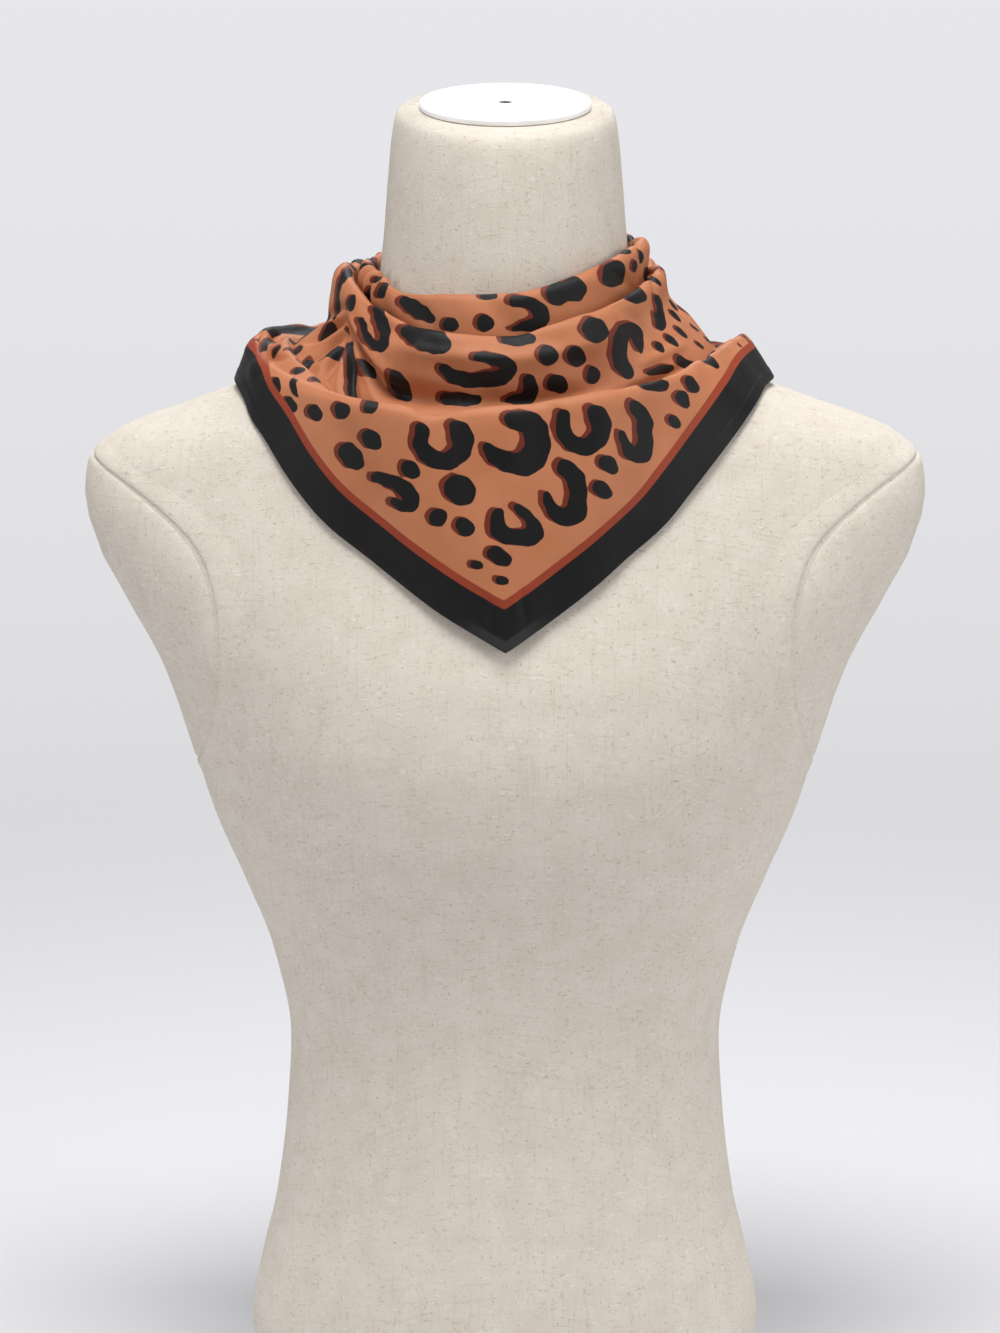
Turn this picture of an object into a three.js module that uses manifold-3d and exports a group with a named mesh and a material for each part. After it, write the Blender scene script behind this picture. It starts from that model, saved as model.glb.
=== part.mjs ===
import * as THREE from 'three';
import { mergeVertices } from 'three/addons/utils/BufferGeometryUtils.js';
import Module from 'manifold-3d';

// A silk square, folded corner to corner, worn with its point in front and tied at the nape of a
// linen dress form. Millimetres, +Z up. The origin is the middle of the base's underside, the front
// is -Y, and a turn is an angle round the neck in degrees, 0 at the front and + towards +X.

const GAP = 0.3; // between pieces that meet
const WALL = 1.5; // the silk's two layers with the air between them
const CLEAR = 2.4; // from the form to the middle of the cloth on the neck

const FORM_SIDES = 44; // faces round the form
const BASE_THICK = 5;
const BASE_INSET = 4; // the base board's edge inside the form's own
const NECK_TILT = 12.5; // the neck's top leans down to the front, in degrees
const TILT_FROM = 575; // height at which the lean begins
const FORM_TOP = 640;

const DISC = { halfWidth: 41, halfDepth: 38, thick: 3, bevel: 0.8, hole: 3.5, sides: 40 };
const ARMHOLE = {
  middle: 400, halfHeight: 75, halfDepth: 78, squareness: 2.25, from: 112, length: 120, sides: 40,
};

const TURN_END = 165; // where the folds run into the knot
const KNOT_FROM = 165.3;
const SIDE_SEAM = 90; // the front point's edge, over each shoulder
const ROLL_DEPTH = 12; // from the inner roll's top down to its hidden edge
const ROLL_EDGE = 1.75; // that edge's distance in from the roll's top, in bends
const BEND_DROP = 0.8; // how far a bend has come down at its own half width, as a share of it
const POINT_ROUND = 6; // turn over which the hem's point is eased when the cloth behind it is shaped
const FALL_SWELL = 7.5; // how far the front fall bellies out at its longest
const FALL_LONG = 110;

function table(columns, rows) {
  return rows.map((row) => Object.fromEntries(columns.map((name, i) => [name, row[i]])));
}

// The form's sections from its base to the top of its neck.
const form = table(['height', 'halfWidth', 'front', 'back', 'squareness'], [
  [0, 114, 74, 78, 2.3],
  [14, 123, 82, 88, 2.3],
  [40, 127, 88, 96, 2.3],
  [69, 122, 88, 95, 2.3],
  [101, 114.5, 85, 88, 2.25],
  [148, 108.5, 80, 78, 2.2],
  [184, 106.5, 78, 74, 2.15],
  [230, 115, 84, 75, 2.15],
  [266, 128.5, 96, 78, 2.2],
  [301, 143, 110, 82, 2.2],
  [341, 155, 116, 86, 2.25],
  [371, 165, 113, 88, 2.3],
  [401, 181, 105, 90, 2.35],
  [430, 196, 95, 90, 2.4],
  [455, 202.5, 86, 87, 2.4],
  [470, 201, 80, 84, 2.4],
  [484, 189, 75, 80, 2.35],
  [499, 151, 69, 76, 2.25],
  [508, 126, 66, 73, 2.2],
  [520, 95, 63, 68, 2.1],
  [534, 72, 61, 61, 2.0],
  [550, 62.5, 60.5, 56, 2.0],
  [573, 58.8, 60.5, 52, 2.0],
  [604, 56.2, 60, 48, 2.0],
  [630, 53.5, 58.5, 45, 2.0],
  [637, 51.5, 56.5, 43, 2.0],
  [640, 47, 52, 39, 2.0],
]);

// The cloth's lines round the neck, from the inner roll out to the hem. Reach is the distance from
// the neck's axis, and bend is half the width of the fold's rounded edge.
const path = ['turn', 'reach', 'height'];
const line = [...path, 'bend'];
const neckCrest = table(line, [
  [-165, 62, 568, 1.5], [-140, 62.6, 568, 2], [-115, 63.8, 567.5, 2.6], [-90, 66.4, 566, 2.8],
  [-72, 66.5, 561.5, 2.7], [-54, 67.6, 557, 2.6], [-43, 69.6, 554, 2.2], [-21, 69.6, 554.3, 2.4],
  [0, 68.6, 554.8, 2.6], [13, 68.4, 556.5, 2.8], [31, 67.4, 563, 3], [43, 66.2, 567.5, 2.8],
  [63, 65.2, 573.5, 2.7], [86, 65, 576, 2.7], [110, 64.2, 576, 2.6], [140, 62.4, 571, 2.2],
  [165, 62, 568, 1.5],
]);
const neckTuck = table(line, [
  [-165, 65, 555, 1.6], [-140, 66.6, 554, 1.7], [-115, 69.2, 552, 1.8], [-90, 71.4, 549.5, 1.8],
  [-72, 71.8, 544, 1.8], [-54, 72.8, 536, 1.8], [-38, 75, 529, 1.7], [-20, 76.8, 524, 1.7],
  [0, 77, 522, 1.7], [20, 76.6, 527, 1.7], [40, 74, 537, 1.7], [63, 70.6, 551, 1.8],
  [86, 69.6, 557, 1.8], [110, 68.6, 557, 1.8], [140, 66.6, 555.5, 1.6], [165, 65, 555, 1.6],
]);
const middleCrest = table(line, [
  [-165, 68.2, 565.5, 1.6], [-140, 70.8, 565, 2], [-115, 74.6, 564.5, 3], [-92, 77.5, 564, 3.8],
  [-70, 76, 555, 3.4], [-54, 77.4, 547.5, 3], [-38, 80, 542.5, 2.8], [-21, 83.2, 538, 2.8],
  [0, 83.4, 536, 3], [13, 83.4, 540.5, 3], [32, 82.2, 547.5, 3], [58, 76.2, 557.5, 3],
  [86, 73.8, 563.5, 2.6], [110, 72.8, 564, 2.6], [140, 70.6, 564, 2.1], [165, 68.2, 565.5, 1.6],
]);
const upperFace = table(path, [
  [-165, 70, 560.5], [-140, 73.2, 554], [-115, 79.5, 550], [-92, 84, 549.5], [-72, 82.5, 543],
  [-54, 83.5, 535], [-38, 86.5, 530], [-20, 88.6, 526], [0, 88.6, 525], [20, 89, 529],
  [40, 86, 537], [63, 80.5, 546], [90, 79, 549], [115, 77.8, 549], [140, 73, 554], [165, 70, 560.5],
]);
const lowerFace = table(path, [
  [-165, 70.3, 557], [-140, 75, 545], [-115, 84, 537], [-92, 86.5, 537], [-72, 87.5, 531],
  [-54, 89, 521], [-38, 91, 511], [-20, 91, 509], [0, 90.8, 510], [20, 91.6, 513],
  [40, 91, 520], [63, 88.5, 532], [90, 88.5, 540], [115, 84.5, 536], [140, 75, 545], [165, 70.3, 557],
]);
const middleTuck = table(line, [
  [-165, 71.4, 552, 1.6], [-140, 78.6, 536, 2.2], [-115, 93, 522.5, 3], [-92, 102, 525.5, 4],
  [-75, 101.5, 520, 4.2], [-60, 100, 512.5, 3.6], [-45, 99.5, 500, 2.6], [-30, 97.4, 493, 2],
  [0, 93.4, 492, 1.8], [20, 94.6, 497, 1.8], [40, 96.2, 504.5, 2], [56, 97, 512.5, 2.2],
  [72, 99.5, 519.5, 2.4], [90, 103.5, 522.5, 2.6], [110, 96, 520.5, 2.7], [140, 78.6, 533, 2.2],
  [165, 71.4, 552, 1.6],
]);
const frontCrest = table(line, [
  [-165, 74.6, 561, 1.7], [-145, 82.5, 544, 2.2], [-128, 94, 530.5, 3], [-112, 107, 528, 4],
  [-97, 115, 531.5, 4.8], [-85, 119.5, 528, 5], [-73, 119, 521.5, 4.6], [-60, 118, 516.5, 4],
  [-40, 114, 510, 3.4], [-26, 109, 506.5, 3.2], [-20, 105.5, 503, 3.2], [-13, 102.4, 504.5, 3.2],
  [0, 99.8, 506, 3.2], [12, 100.4, 508.5, 3.2], [32, 103.6, 513, 3.2], [50, 104, 518.5, 3.2],
  [64, 106, 524, 3.2], [78, 109.5, 528.5, 3.4], [90, 114.5, 531, 3.6], [105, 110, 523.5, 3.2],
  [120, 99, 523, 2.8], [140, 86, 539, 2.2], [165, 74.6, 561, 1.7],
]);
const hemLeft = table(path, [
  [-165, 78.2, 545], [-150, 84, 530], [-135, 96, 519.5], [-115, 115, 511.5], [-97, 126.5, 510.3],
  [-88, 129.8, 509.8], [-80, 129.8, 508.3], [-72.7, 130, 504], [-65.5, 131, 495.5],
  [-60, 129.8, 487.5], [-53, 126.3, 470], [-45.3, 121.1, 452.4], [-32.5, 112.3, 432.4],
  [-18.7, 108.7, 414.2], [0, 109.9, 393.8],
]);
const hemRight = table(path, [
  [0, 109.9, 393.8], [13.5, 107.4, 410.6], [29, 108.9, 432.4], [40.4, 114.1, 450],
  [47.5, 117.8, 465.3], [55.3, 123.3, 482.9], [60, 125.3, 491.4], [66.4, 126.4, 499.8],
  [78, 127, 508.5], [88, 129.6, 510.5], [97, 126, 511], [115, 115, 511.5], [135, 96, 519],
  [150, 84, 530], [165, 78.2, 545],
]);

// Pleats that fan out below the gathered left side of the middle fold, from a turn and a place on
// the section to another. Places are counted along the section, as sectionPoints numbers them.
const pleats = table(['fromTurn', 'fromPlace', 'toTurn', 'toPlace', 'halfTurn', 'depth'], [
  [-69, 9.6, -90, 12.2, 4.0, -2.2],
  [-67, 9.8, -77, 12.6, 3.2, -2.4],
  [-65, 10, -65, 12.7, 3.0, -2.2],
  [-63, 10, -54, 12.6, 2.8, -2.0],
  [-61, 9.8, -46, 12.4, 2.8, -1.8],
  [68, 7.5, 60, 10.6, 3.0, -1.4],
  [78, 7.5, 84, 11.4, 3.4, -1.6],
]);

// A curve through a table's column that never overshoots its rows.
function curve(rows, from, to) {
  const x = rows.map((row) => row[from]);
  const y = rows.map((row) => row[to]);
  const rise = x.slice(1).map((value, i) => (y[i + 1] - y[i]) / (value - x[i]));
  const slope = x.map((_, i) => {
    if (i === 0) return rise[0];
    if (i === x.length - 1) return rise[i - 1];
    if (rise[i - 1] * rise[i] <= 0) return 0;
    const before = x[i] - x[i - 1];
    const after = x[i + 1] - x[i];
    return (3 * (before + after)) / ((2 * after + before) / rise[i - 1] + (after + 2 * before) / rise[i]);
  });
  return (value) => {
    const at = THREE.MathUtils.clamp(value, x[0], x[x.length - 1]);
    let i = 0;
    while (i < x.length - 2 && at > x[i + 1]) i += 1;
    const span = x[i + 1] - x[i];
    const t = (at - x[i]) / span;
    const s = 1 - t;
    return (1 + 2 * t) * s * s * y[i] + t * s * s * span * slope[i]
      + t * t * (3 - 2 * t) * y[i + 1] - t * t * s * span * slope[i + 1];
  };
}

function curvesOf(rows, from) {
  return Object.fromEntries(Object.keys(rows[0]).filter((name) => name !== from)
    .map((name) => [name, curve(rows, from, name)]));
}

function valuesAt(curves, where) {
  return Object.fromEntries(Object.entries(curves).map(([name, at]) => [name, at(where)]));
}

const radians = THREE.MathUtils.degToRad;
const formCurves = curvesOf(form, 'height');

// Distance from the neck's axis to the form's surface.
function formReach(turn, height) {
  const side = Math.abs(Math.sin(radians(turn)));
  const ahead = Math.cos(radians(turn));
  const depth = ahead > 0 ? formCurves.front(height) : formCurves.back(height);
  const n = formCurves.squareness(height);
  return ((side / formCurves.halfWidth(height)) ** n + (Math.abs(ahead) / depth) ** n) ** (-1 / n);
}

// A closed body through a grid of points: rows along it, each an open or a closed run round it.
function wallFromGrid(outer, inner) {
  const rows = outer.length;
  const columns = outer[0].length;
  const points = [...outer.flat(), ...inner.flat()];
  const faces = [];
  const out = (i, j) => i * columns + j;
  const back = (i, j) => rows * columns + i * columns + j;
  const quad = (a, b, c, d) => faces.push(a, b, c, a, c, d);
  for (let i = 0; i < rows - 1; i += 1) {
    for (let j = 0; j < columns - 1; j += 1) {
      quad(out(i, j), out(i, j + 1), out(i + 1, j + 1), out(i + 1, j));
      quad(back(i, j), back(i + 1, j), back(i + 1, j + 1), back(i, j + 1));
    }
    quad(out(i, 0), out(i + 1, 0), back(i + 1, 0), back(i, 0));
    quad(out(i, columns - 1), back(i, columns - 1), back(i + 1, columns - 1), out(i + 1, columns - 1));
  }
  for (let j = 0; j < columns - 1; j += 1) {
    quad(out(0, j), back(0, j), back(0, j + 1), out(0, j + 1));
    quad(out(rows - 1, j), out(rows - 1, j + 1), back(rows - 1, j + 1), back(rows - 1, j));
  }
  return bodyFrom(points, faces);
}

// A closed body through rings of points, with a flat or pointed lid at each end.
function bodyFromRings(rings) {
  const count = rings[0].length;
  const points = rings.flat();
  const faces = [];
  for (let i = 0; i < rings.length - 1; i += 1) {
    for (let j = 0; j < count; j += 1) {
      const k = (j + 1) % count;
      faces.push(i * count + j, i * count + k, (i + 1) * count + k);
      faces.push(i * count + j, (i + 1) * count + k, (i + 1) * count + j);
    }
  }
  for (const [first, flip] of [[0, true], [(rings.length - 1) * count, false]]) {
    const middle = new THREE.Vector3();
    for (let j = 0; j < count; j += 1) middle.addScaledVector(points[first + j], 1 / count);
    points.push(middle);
    for (let j = 0; j < count; j += 1) {
      const a = first + j;
      const b = first + ((j + 1) % count);
      faces.push(...(flip ? [b, a, points.length - 1] : [a, b, points.length - 1]));
    }
  }
  return bodyFrom(points, faces);
}

function bodyFrom(points, faces) {
  const geometry = new THREE.BufferGeometry();
  const flat = points.flatMap((point) => [point.x, point.y, point.z]);
  geometry.setAttribute('position', new THREE.Float32BufferAttribute(flat, 3));
  geometry.setIndex(faces);
  return geometry;
}

// Materials
const linen = new THREE.MeshStandardMaterial({ color: 0xd9cfbd, roughness: 0.9, metalness: 0 });
const plastic = new THREE.MeshStandardMaterial({ color: 0xf2f2f0, roughness: 0.45, metalness: 0 });
const silk = new THREE.MeshStandardMaterial({ color: 0xc98355, roughness: 0.4, metalness: 0 });
const silkBorder = new THREE.MeshStandardMaterial({ color: 0x1b1a1b, roughness: 0.4, metalness: 0 });

const scarfOnForm = new THREE.Group();

function add(name, geometry, material) {
  const mesh = new THREE.Mesh(geometry, material);
  mesh.name = name;
  scarfOnForm.add(mesh);
  return mesh;
}

// Dress form
const wasm = await Module();
wasm.setup();

function toSolid(geometry) {
  const bare = geometry.clone();
  for (const name of Object.keys(bare.attributes)) {
    if (name !== 'position') bare.deleteAttribute(name);
  }
  const merged = mergeVertices(bare, 1e-4);
  return new wasm.Manifold(new wasm.Mesh({
    numProp: 3,
    vertProperties: new Float32Array(merged.attributes.position.array),
    triVerts: new Uint32Array(merged.index.array),
  }));
}

function toGeometry(solid) {
  const mesh = solid.getMesh();
  const geometry = new THREE.BufferGeometry();
  geometry.setAttribute('position', new THREE.BufferAttribute(new Float32Array(mesh.vertProperties), 3));
  geometry.setIndex(new THREE.BufferAttribute(new Uint32Array(mesh.triVerts), 1));
  return geometry;
}

// Above the collar the form leans, so that its top slopes down to the front.
function leaned(x, y, height) {
  const share = THREE.MathUtils.smoothstep(height, TILT_FROM, FORM_TOP);
  return new THREE.Vector3(x, y, height + share * Math.tan(radians(NECK_TILT)) * y);
}

function formRing(height, inset = 0) {
  return Array.from({ length: FORM_SIDES }, (_, j) => {
    const turn = (360 * j) / FORM_SIDES;
    const reach = formReach(turn, height) - inset;
    return [reach * Math.sin(radians(turn)), -reach * Math.cos(radians(turn))];
  });
}

function makeForm() {
  const bottom = BASE_THICK + GAP;
  const heights = [bottom, ...form.map((row) => row.height).filter((height) => height > bottom)];
  const rings = heights.map((height) => formRing(height).map(([x, y]) => leaned(x, y, height)));
  return bodyFromRings(rings);
}

function makeBase() {
  const rings = [0, BASE_THICK].map((height) => formRing(0, BASE_INSET)
    .map(([x, y]) => new THREE.Vector3(x, y, height)));
  return bodyFromRings(rings);
}

// The oval plug that closes an armhole. Its side follows the seam, straight into the form.
function armholePlug(side, grow) {
  const outline = new THREE.Shape();
  for (let i = 0; i < ARMHOLE.sides; i += 1) {
    const angle = (2 * Math.PI * i) / ARMHOLE.sides;
    const across = Math.sign(Math.cos(angle)) * Math.abs(Math.cos(angle)) ** (2 / ARMHOLE.squareness);
    const up = Math.sign(Math.sin(angle)) * Math.abs(Math.sin(angle)) ** (2 / ARMHOLE.squareness);
    const y = across * (ARMHOLE.halfDepth + grow);
    const z = ARMHOLE.middle + up * (ARMHOLE.halfHeight + grow);
    if (i === 0) outline.moveTo(y, z);
    else outline.lineTo(y, z);
  }
  const plug = new THREE.ExtrudeGeometry(outline, { depth: ARMHOLE.length, bevelEnabled: false });
  plug.rotateZ(Math.PI / 2);
  plug.rotateY(Math.PI / 2);
  plug.translate(ARMHOLE.from - grow, 0, 0);
  if (side < 0) plug.rotateZ(Math.PI);
  return toSolid(plug);
}

const formSolid = toSolid(makeForm());
let torso = formSolid;
for (const [name, side] of [['form_arm_cap_left', -1], ['form_arm_cap_right', 1]]) {
  torso = torso.subtract(armholePlug(side, GAP));
  add(name, toGeometry(formSolid.intersect(armholePlug(side, 0))), linen);
}
add('form_torso', toGeometry(torso), linen);
add('form_base', makeBase(), plastic);

// Neck disc, lying on the form's sloping top
function makeDisc() {
  const { halfWidth, halfDepth, thick, bevel, hole, sides } = DISC;
  const profile = [
    [hole, 0], [halfWidth, 0], [halfWidth, thick - bevel], [halfWidth - bevel, thick], [hole, thick],
    [hole, 0],
  ].map(([x, y]) => new THREE.Vector2(x, y));
  const disc = new THREE.LatheGeometry(profile, sides);
  disc.rotateX(Math.PI / 2);
  disc.scale(1, halfDepth / halfWidth, 1);
  disc.rotateX(radians(NECK_TILT));
  const top = form[form.length - 1];
  const middleY = (top.back - top.front) / 2;
  const seat = FORM_TOP + GAP / Math.cos(radians(NECK_TILT));
  disc.translate(0, middleY, seat + Math.tan(radians(NECK_TILT)) * middleY);
  return disc;
}
add('neck_disc', makeDisc(), plastic);

// Scarf
const folds = {
  neckCrest: curvesOf(neckCrest, 'turn'),
  neckTuck: curvesOf(neckTuck, 'turn'),
  middleCrest: curvesOf(middleCrest, 'turn'),
  upperFace: curvesOf(upperFace, 'turn'),
  lowerFace: curvesOf(lowerFace, 'turn'),
  middleTuck: curvesOf(middleTuck, 'turn'),
  frontCrest: curvesOf(frontCrest, 'turn'),
  hemLeft: curvesOf(hemLeft, 'turn'),
  hemRight: curvesOf(hemRight, 'turn'),
};

function hemAt(turn) {
  return valuesAt(turn < 0 ? folds.hemLeft : folds.hemRight, turn);
}

// The cloth below its outermost fold: out to the hem's reach, with a swell where it hangs free.
function fallPoint(turn, crest, height) {
  const eased = Math.sqrt(turn * turn + POINT_ROUND * POINT_ROUND) * (turn < 0 ? -1 : 1);
  const top = crest.height - BEND_DROP * crest.bend;
  const long = Math.max(top - hemAt(eased).height, 1);
  const share = (top - height) / long;
  const start = crest.reach + crest.bend;
  const swell = FALL_SWELL * Math.min(long / FALL_LONG, 1) * share * (1 - share);
  return [start + (hemAt(turn).reach - start) * share + swell, height];
}

// The points that the cloth's section passes through at a turn, each as reach and height.
function sectionPoints(turn) {
  const neck = valuesAt(folds.neckCrest, turn);
  const crest = valuesAt(folds.frontCrest, turn);
  const edgeHeight = neck.height - ROLL_DEPTH;
  const edge = Math.max(neck.reach - ROLL_EDGE * neck.bend, formReach(turn, edgeHeight) + CLEAR);
  const points = [[edge, edgeHeight]];
  const bend = ({ reach, height, bend: half }, side) => {
    points.push([reach - half, height - side * BEND_DROP * half]);
    points.push([reach, height]);
    points.push([reach + half, height - side * BEND_DROP * half]);
  };
  bend(neck, 1);
  bend(valuesAt(folds.neckTuck, turn), -1);
  bend(valuesAt(folds.middleCrest, turn), 1);
  for (const face of [folds.upperFace, folds.lowerFace]) {
    const { reach, height } = valuesAt(face, turn);
    points.push([reach, height]);
  }
  bend(valuesAt(folds.middleTuck, turn), -1);
  bend(crest, 1);
  const top = crest.height - BEND_DROP * crest.bend;
  const hem = hemAt(turn).height;
  for (const share of [0.22, 0.48, 0.74, 1]) {
    points.push(fallPoint(turn, crest, top + (hem - top) * share));
  }
  return points;
}

// A smooth section through those points, as a function of the place along it, counted in points.
function section(turn) {
  const points = sectionPoints(turn).map(([reach, height]) => new THREE.Vector2(reach, height));
  const spans = points.slice(1).map((point, i) => Math.sqrt(point.distanceTo(points[i])));
  const rise = spans.map((span, i) => points[i + 1].clone().sub(points[i]).divideScalar(span));
  const slope = points.map((_, i) => {
    if (i === 0) return rise[0];
    if (i === points.length - 1) return rise[i - 1];
    const mixed = rise[i - 1].clone().multiplyScalar(spans[i]).addScaledVector(rise[i], spans[i - 1]);
    return mixed.divideScalar(spans[i - 1] + spans[i]);
  });
  return (place) => {
    const i = THREE.MathUtils.clamp(Math.floor(place), 0, points.length - 2);
    const t = place - i;
    const s = 1 - t;
    return new THREE.Vector2()
      .addScaledVector(points[i], (1 + 2 * t) * s * s)
      .addScaledVector(slope[i], t * s * s * spans[i])
      .addScaledVector(points[i + 1], t * t * (3 - 2 * t))
      .addScaledVector(slope[i + 1], -t * t * s * spans[i]);
  };
}

// How far the pleats push the cloth out at a turn and place.
function pleatDepth(turn, place) {
  let depth = 0;
  for (const pleat of pleats) {
    const share = (place - pleat.fromPlace) / (pleat.toPlace - pleat.fromPlace);
    if (share <= 0 || share >= 1) continue;
    const ridge = pleat.fromTurn + (pleat.toTurn - pleat.fromTurn) * share;
    const off = (turn - ridge) / (pleat.halfTurn * (0.6 + 0.4 * share));
    depth += pleat.depth * Math.sin(Math.PI * share) * Math.exp(-off * off);
  }
  return depth;
}

// Small steps along the section and round the neck, from which the cloth's direction is worked out
const STEP = 0.01;
const TURN_STEP = 0.5;

function clothPoint(turn, place, at) {
  const point = at(place);
  const push = pleatDepth(turn, place);
  if (push !== 0) {
    const along = at(place + STEP).sub(at(place - STEP)).normalize();
    point.add(new THREE.Vector2(-along.y, along.x).multiplyScalar(-push));
  }
  return new THREE.Vector3(point.x * Math.sin(radians(turn)), -point.x * Math.cos(radians(turn)), point.y);
}

// The turns at which the cloth's sections are set, closer together across the pleats. Every stretch
// uses the same ones, so that the seams between them run side by side.
const turnSpans = table(['from', 'to', 'steps'], [
  [-TURN_END, -SIDE_SEAM, 10],
  [-SIDE_SEAM, -81, 2],
  [-81, -36, 15],
  [-36, SIDE_SEAM, 21],
  [SIDE_SEAM, TURN_END, 10],
]);

function turnsBetween(first, last) {
  const inside = turnSpans.flatMap(({ from, to, steps }) => Array.from({ length: steps }, (_, i) => (
    from + ((to - from) * i) / steps
  ))).filter((turn) => turn > first + 1 && turn < last - 1);
  return [first, ...inside, last];
}

// A stretch of the folded cloth: a wall along the given turns and places.
function stretch(turns, places) {
  const outer = [];
  const inner = [];
  for (const turn of turns) {
    const here = section(turn);
    const [before, after] = [section(turn - TURN_STEP), section(turn + TURN_STEP)];
    outer.push([]);
    inner.push([]);
    for (const place of places) {
      const point = clothPoint(turn, place, here);
      const along = clothPoint(turn, place + STEP, here).sub(clothPoint(turn, place - STEP, here));
      const round = clothPoint(turn + TURN_STEP, place, after)
        .sub(clothPoint(turn - TURN_STEP, place, before));
      const normal = along.cross(round).normalize().multiplyScalar(WALL / 2);
      outer[outer.length - 1].push(point.clone().add(normal));
      inner[inner.length - 1].push(point.clone().sub(normal));
    }
  }
  return wallFromGrid(outer, inner);
}

const SEAM = 0.08; // half of the gap at a seam, in places along the section
const SEAM_TURN = 0.1; // half of the gap at the side seams, in degrees
const neckPlaces = [0, 1, 1.5, 2, 2.5, 3, 4, 4.5, 5 - SEAM];
const middlePlaces = [5 + SEAM, 5.5, 6, 7, 7.5, 8, 8.5, 9, 10, 11, 12, 12.5, 13 - SEAM];
const outerPlaces = [13 + SEAM, 13.5, 14, 15, 15.5, 16, 16.5, 17, 18, 19, 20, 21];

add('scarf_neck_roll', stretch(turnsBetween(-TURN_END, TURN_END), neckPlaces), silk);
add('scarf_middle_fold', stretch(turnsBetween(-TURN_END, TURN_END), middlePlaces), silk);
for (const [name, first, last] of [
  ['scarf_front_point', -SIDE_SEAM + SEAM_TURN, SIDE_SEAM - SEAM_TURN],
  ['scarf_back_left', -TURN_END, -SIDE_SEAM - SEAM_TURN],
  ['scarf_back_right', SIDE_SEAM + SEAM_TURN, TURN_END],
]) {
  add(name, stretch(turnsBetween(first, last), outerPlaces), silk);
}

// Knot at the nape: rings round a short arc, fuller in the middle
const knotRings = table(['share', 'inner', 'outer', 'bottom', 'top'], [
  [0, 60, 77, 543, 571],
  [0.12, 59.5, 81, 539, 573.5],
  [0.3, 59, 86, 536, 575],
  [0.5, 59, 88.5, 534.5, 574.5],
  [0.7, 59, 86, 536, 575],
  [0.88, 59.5, 81, 539, 573.5],
  [1, 60, 77, 543, 571],
]);
const KNOT_SIDES = 16;
const KNOT_STEPS = 12;

const knotCurves = curvesOf(knotRings, 'share');

function knotSize(turn) {
  const { inner, outer, bottom, top } = valuesAt(knotCurves, (turn - KNOT_FROM) / (360 - 2 * KNOT_FROM));
  return {
    middleReach: (inner + outer) / 2,
    halfReach: (outer - inner) / 2,
    middleHeight: (bottom + top) / 2,
    halfHeight: (top - bottom) / 2,
  };
}

function makeKnot() {
  const rings = [];
  for (let i = 0; i <= KNOT_STEPS; i += 1) {
    const turn = KNOT_FROM + ((360 - 2 * KNOT_FROM) * i) / KNOT_STEPS;
    const size = knotSize(turn);
    rings.push(Array.from({ length: KNOT_SIDES }, (_, j) => {
      const angle = (2 * Math.PI * j) / KNOT_SIDES;
      const reach = size.middleReach + size.halfReach * Math.cos(angle);
      const height = size.middleHeight - size.halfHeight * Math.sin(angle);
      return new THREE.Vector3(reach * Math.sin(radians(turn)), -reach * Math.cos(radians(turn)), height);
    }));
  }
  return bodyFromRings(rings);
}

// The height of the knot's underside at a place behind the neck.
function knotUnderside(x, y) {
  const size = knotSize(180 - THREE.MathUtils.radToDeg(Math.atan2(x, y)));
  const off = THREE.MathUtils.clamp((Math.hypot(x, y) - size.middleReach) / size.halfReach, -1, 1);
  return size.middleHeight - size.halfHeight * Math.sqrt(1 - off * off);
}
add('scarf_knot', makeKnot(), silk);

// The two ends that hang from the knot, gathered at the top and pointed at the bottom. Lift is how
// far the knot holds the cloth off the form, and pleat is the height of its gathers.
const endShape = table(['share', 'middle', 'halfWidth', 'height', 'lift', 'pleat'], [
  [0, 8, 7, 534, 5.6, 1.4],
  [0.15, 11, 9.5, 519, 3.2, 2.2],
  [0.35, 17, 15, 498, 0.6, 2.4],
  [0.6, 26, 22, 472, 0, 1.8],
  [0.8, 34, 20, 452, 0, 1.0],
  [1, 43, 2, 429, 0, 0],
]);
const END_CLEAR = 2; // from the form to the middle of the cloth
const END_FOLDS = 2.5; // waves across an end
const END_COLUMNS = 14;
const END_ROWS = 14;
const END_FALL = 0.35; // how far an end's outer edge hangs below its middle, as a share of its width
const END_SEAT = 0.12; // share of the end over which its top edge follows the knot

function endPoint(side, shape, share, across) {
  const x = side * (shape.middle + across * shape.halfWidth);
  const wave = (1 + Math.cos(Math.PI * END_FOLDS * across)) * shape.pleat;
  const hung = shape.height - across * END_FALL * shape.halfWidth * share;
  const y = backDepth(x, hung) + END_CLEAR + shape.lift + wave;
  const seated = Math.max(1 - share / END_SEAT, 0);
  return new THREE.Vector3(x, y, hung + (knotUnderside(Math.abs(x), y) - GAP - hung) * seated);
}

function makeEnd(side) {
  const shapes = curvesOf(endShape, 'share');
  const middle = [];
  for (let i = 0; i <= END_ROWS; i += 1) {
    const share = i / END_ROWS;
    const shape = valuesAt(shapes, share);
    middle.push(Array.from({ length: END_COLUMNS + 1 }, (_, j) => (
      endPoint(side, shape, share, (2 * j) / END_COLUMNS - 1)
    )));
  }
  const outer = [];
  const inner = [];
  for (let i = 0; i <= END_ROWS; i += 1) {
    outer.push([]);
    inner.push([]);
    for (let j = 0; j <= END_COLUMNS; j += 1) {
      const across = middle[i][Math.min(j + 1, END_COLUMNS)].clone().sub(middle[i][Math.max(j - 1, 0)]);
      const down = middle[Math.min(i + 1, END_ROWS)][j].clone().sub(middle[Math.max(i - 1, 0)][j]);
      const normal = across.cross(down).normalize().multiplyScalar((side * WALL) / 2);
      outer[i].push(middle[i][j].clone().add(normal));
      inner[i].push(middle[i][j].clone().sub(normal));
    }
  }
  return side > 0 ? wallFromGrid(outer, inner) : wallFromGrid(inner, outer);
}

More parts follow.
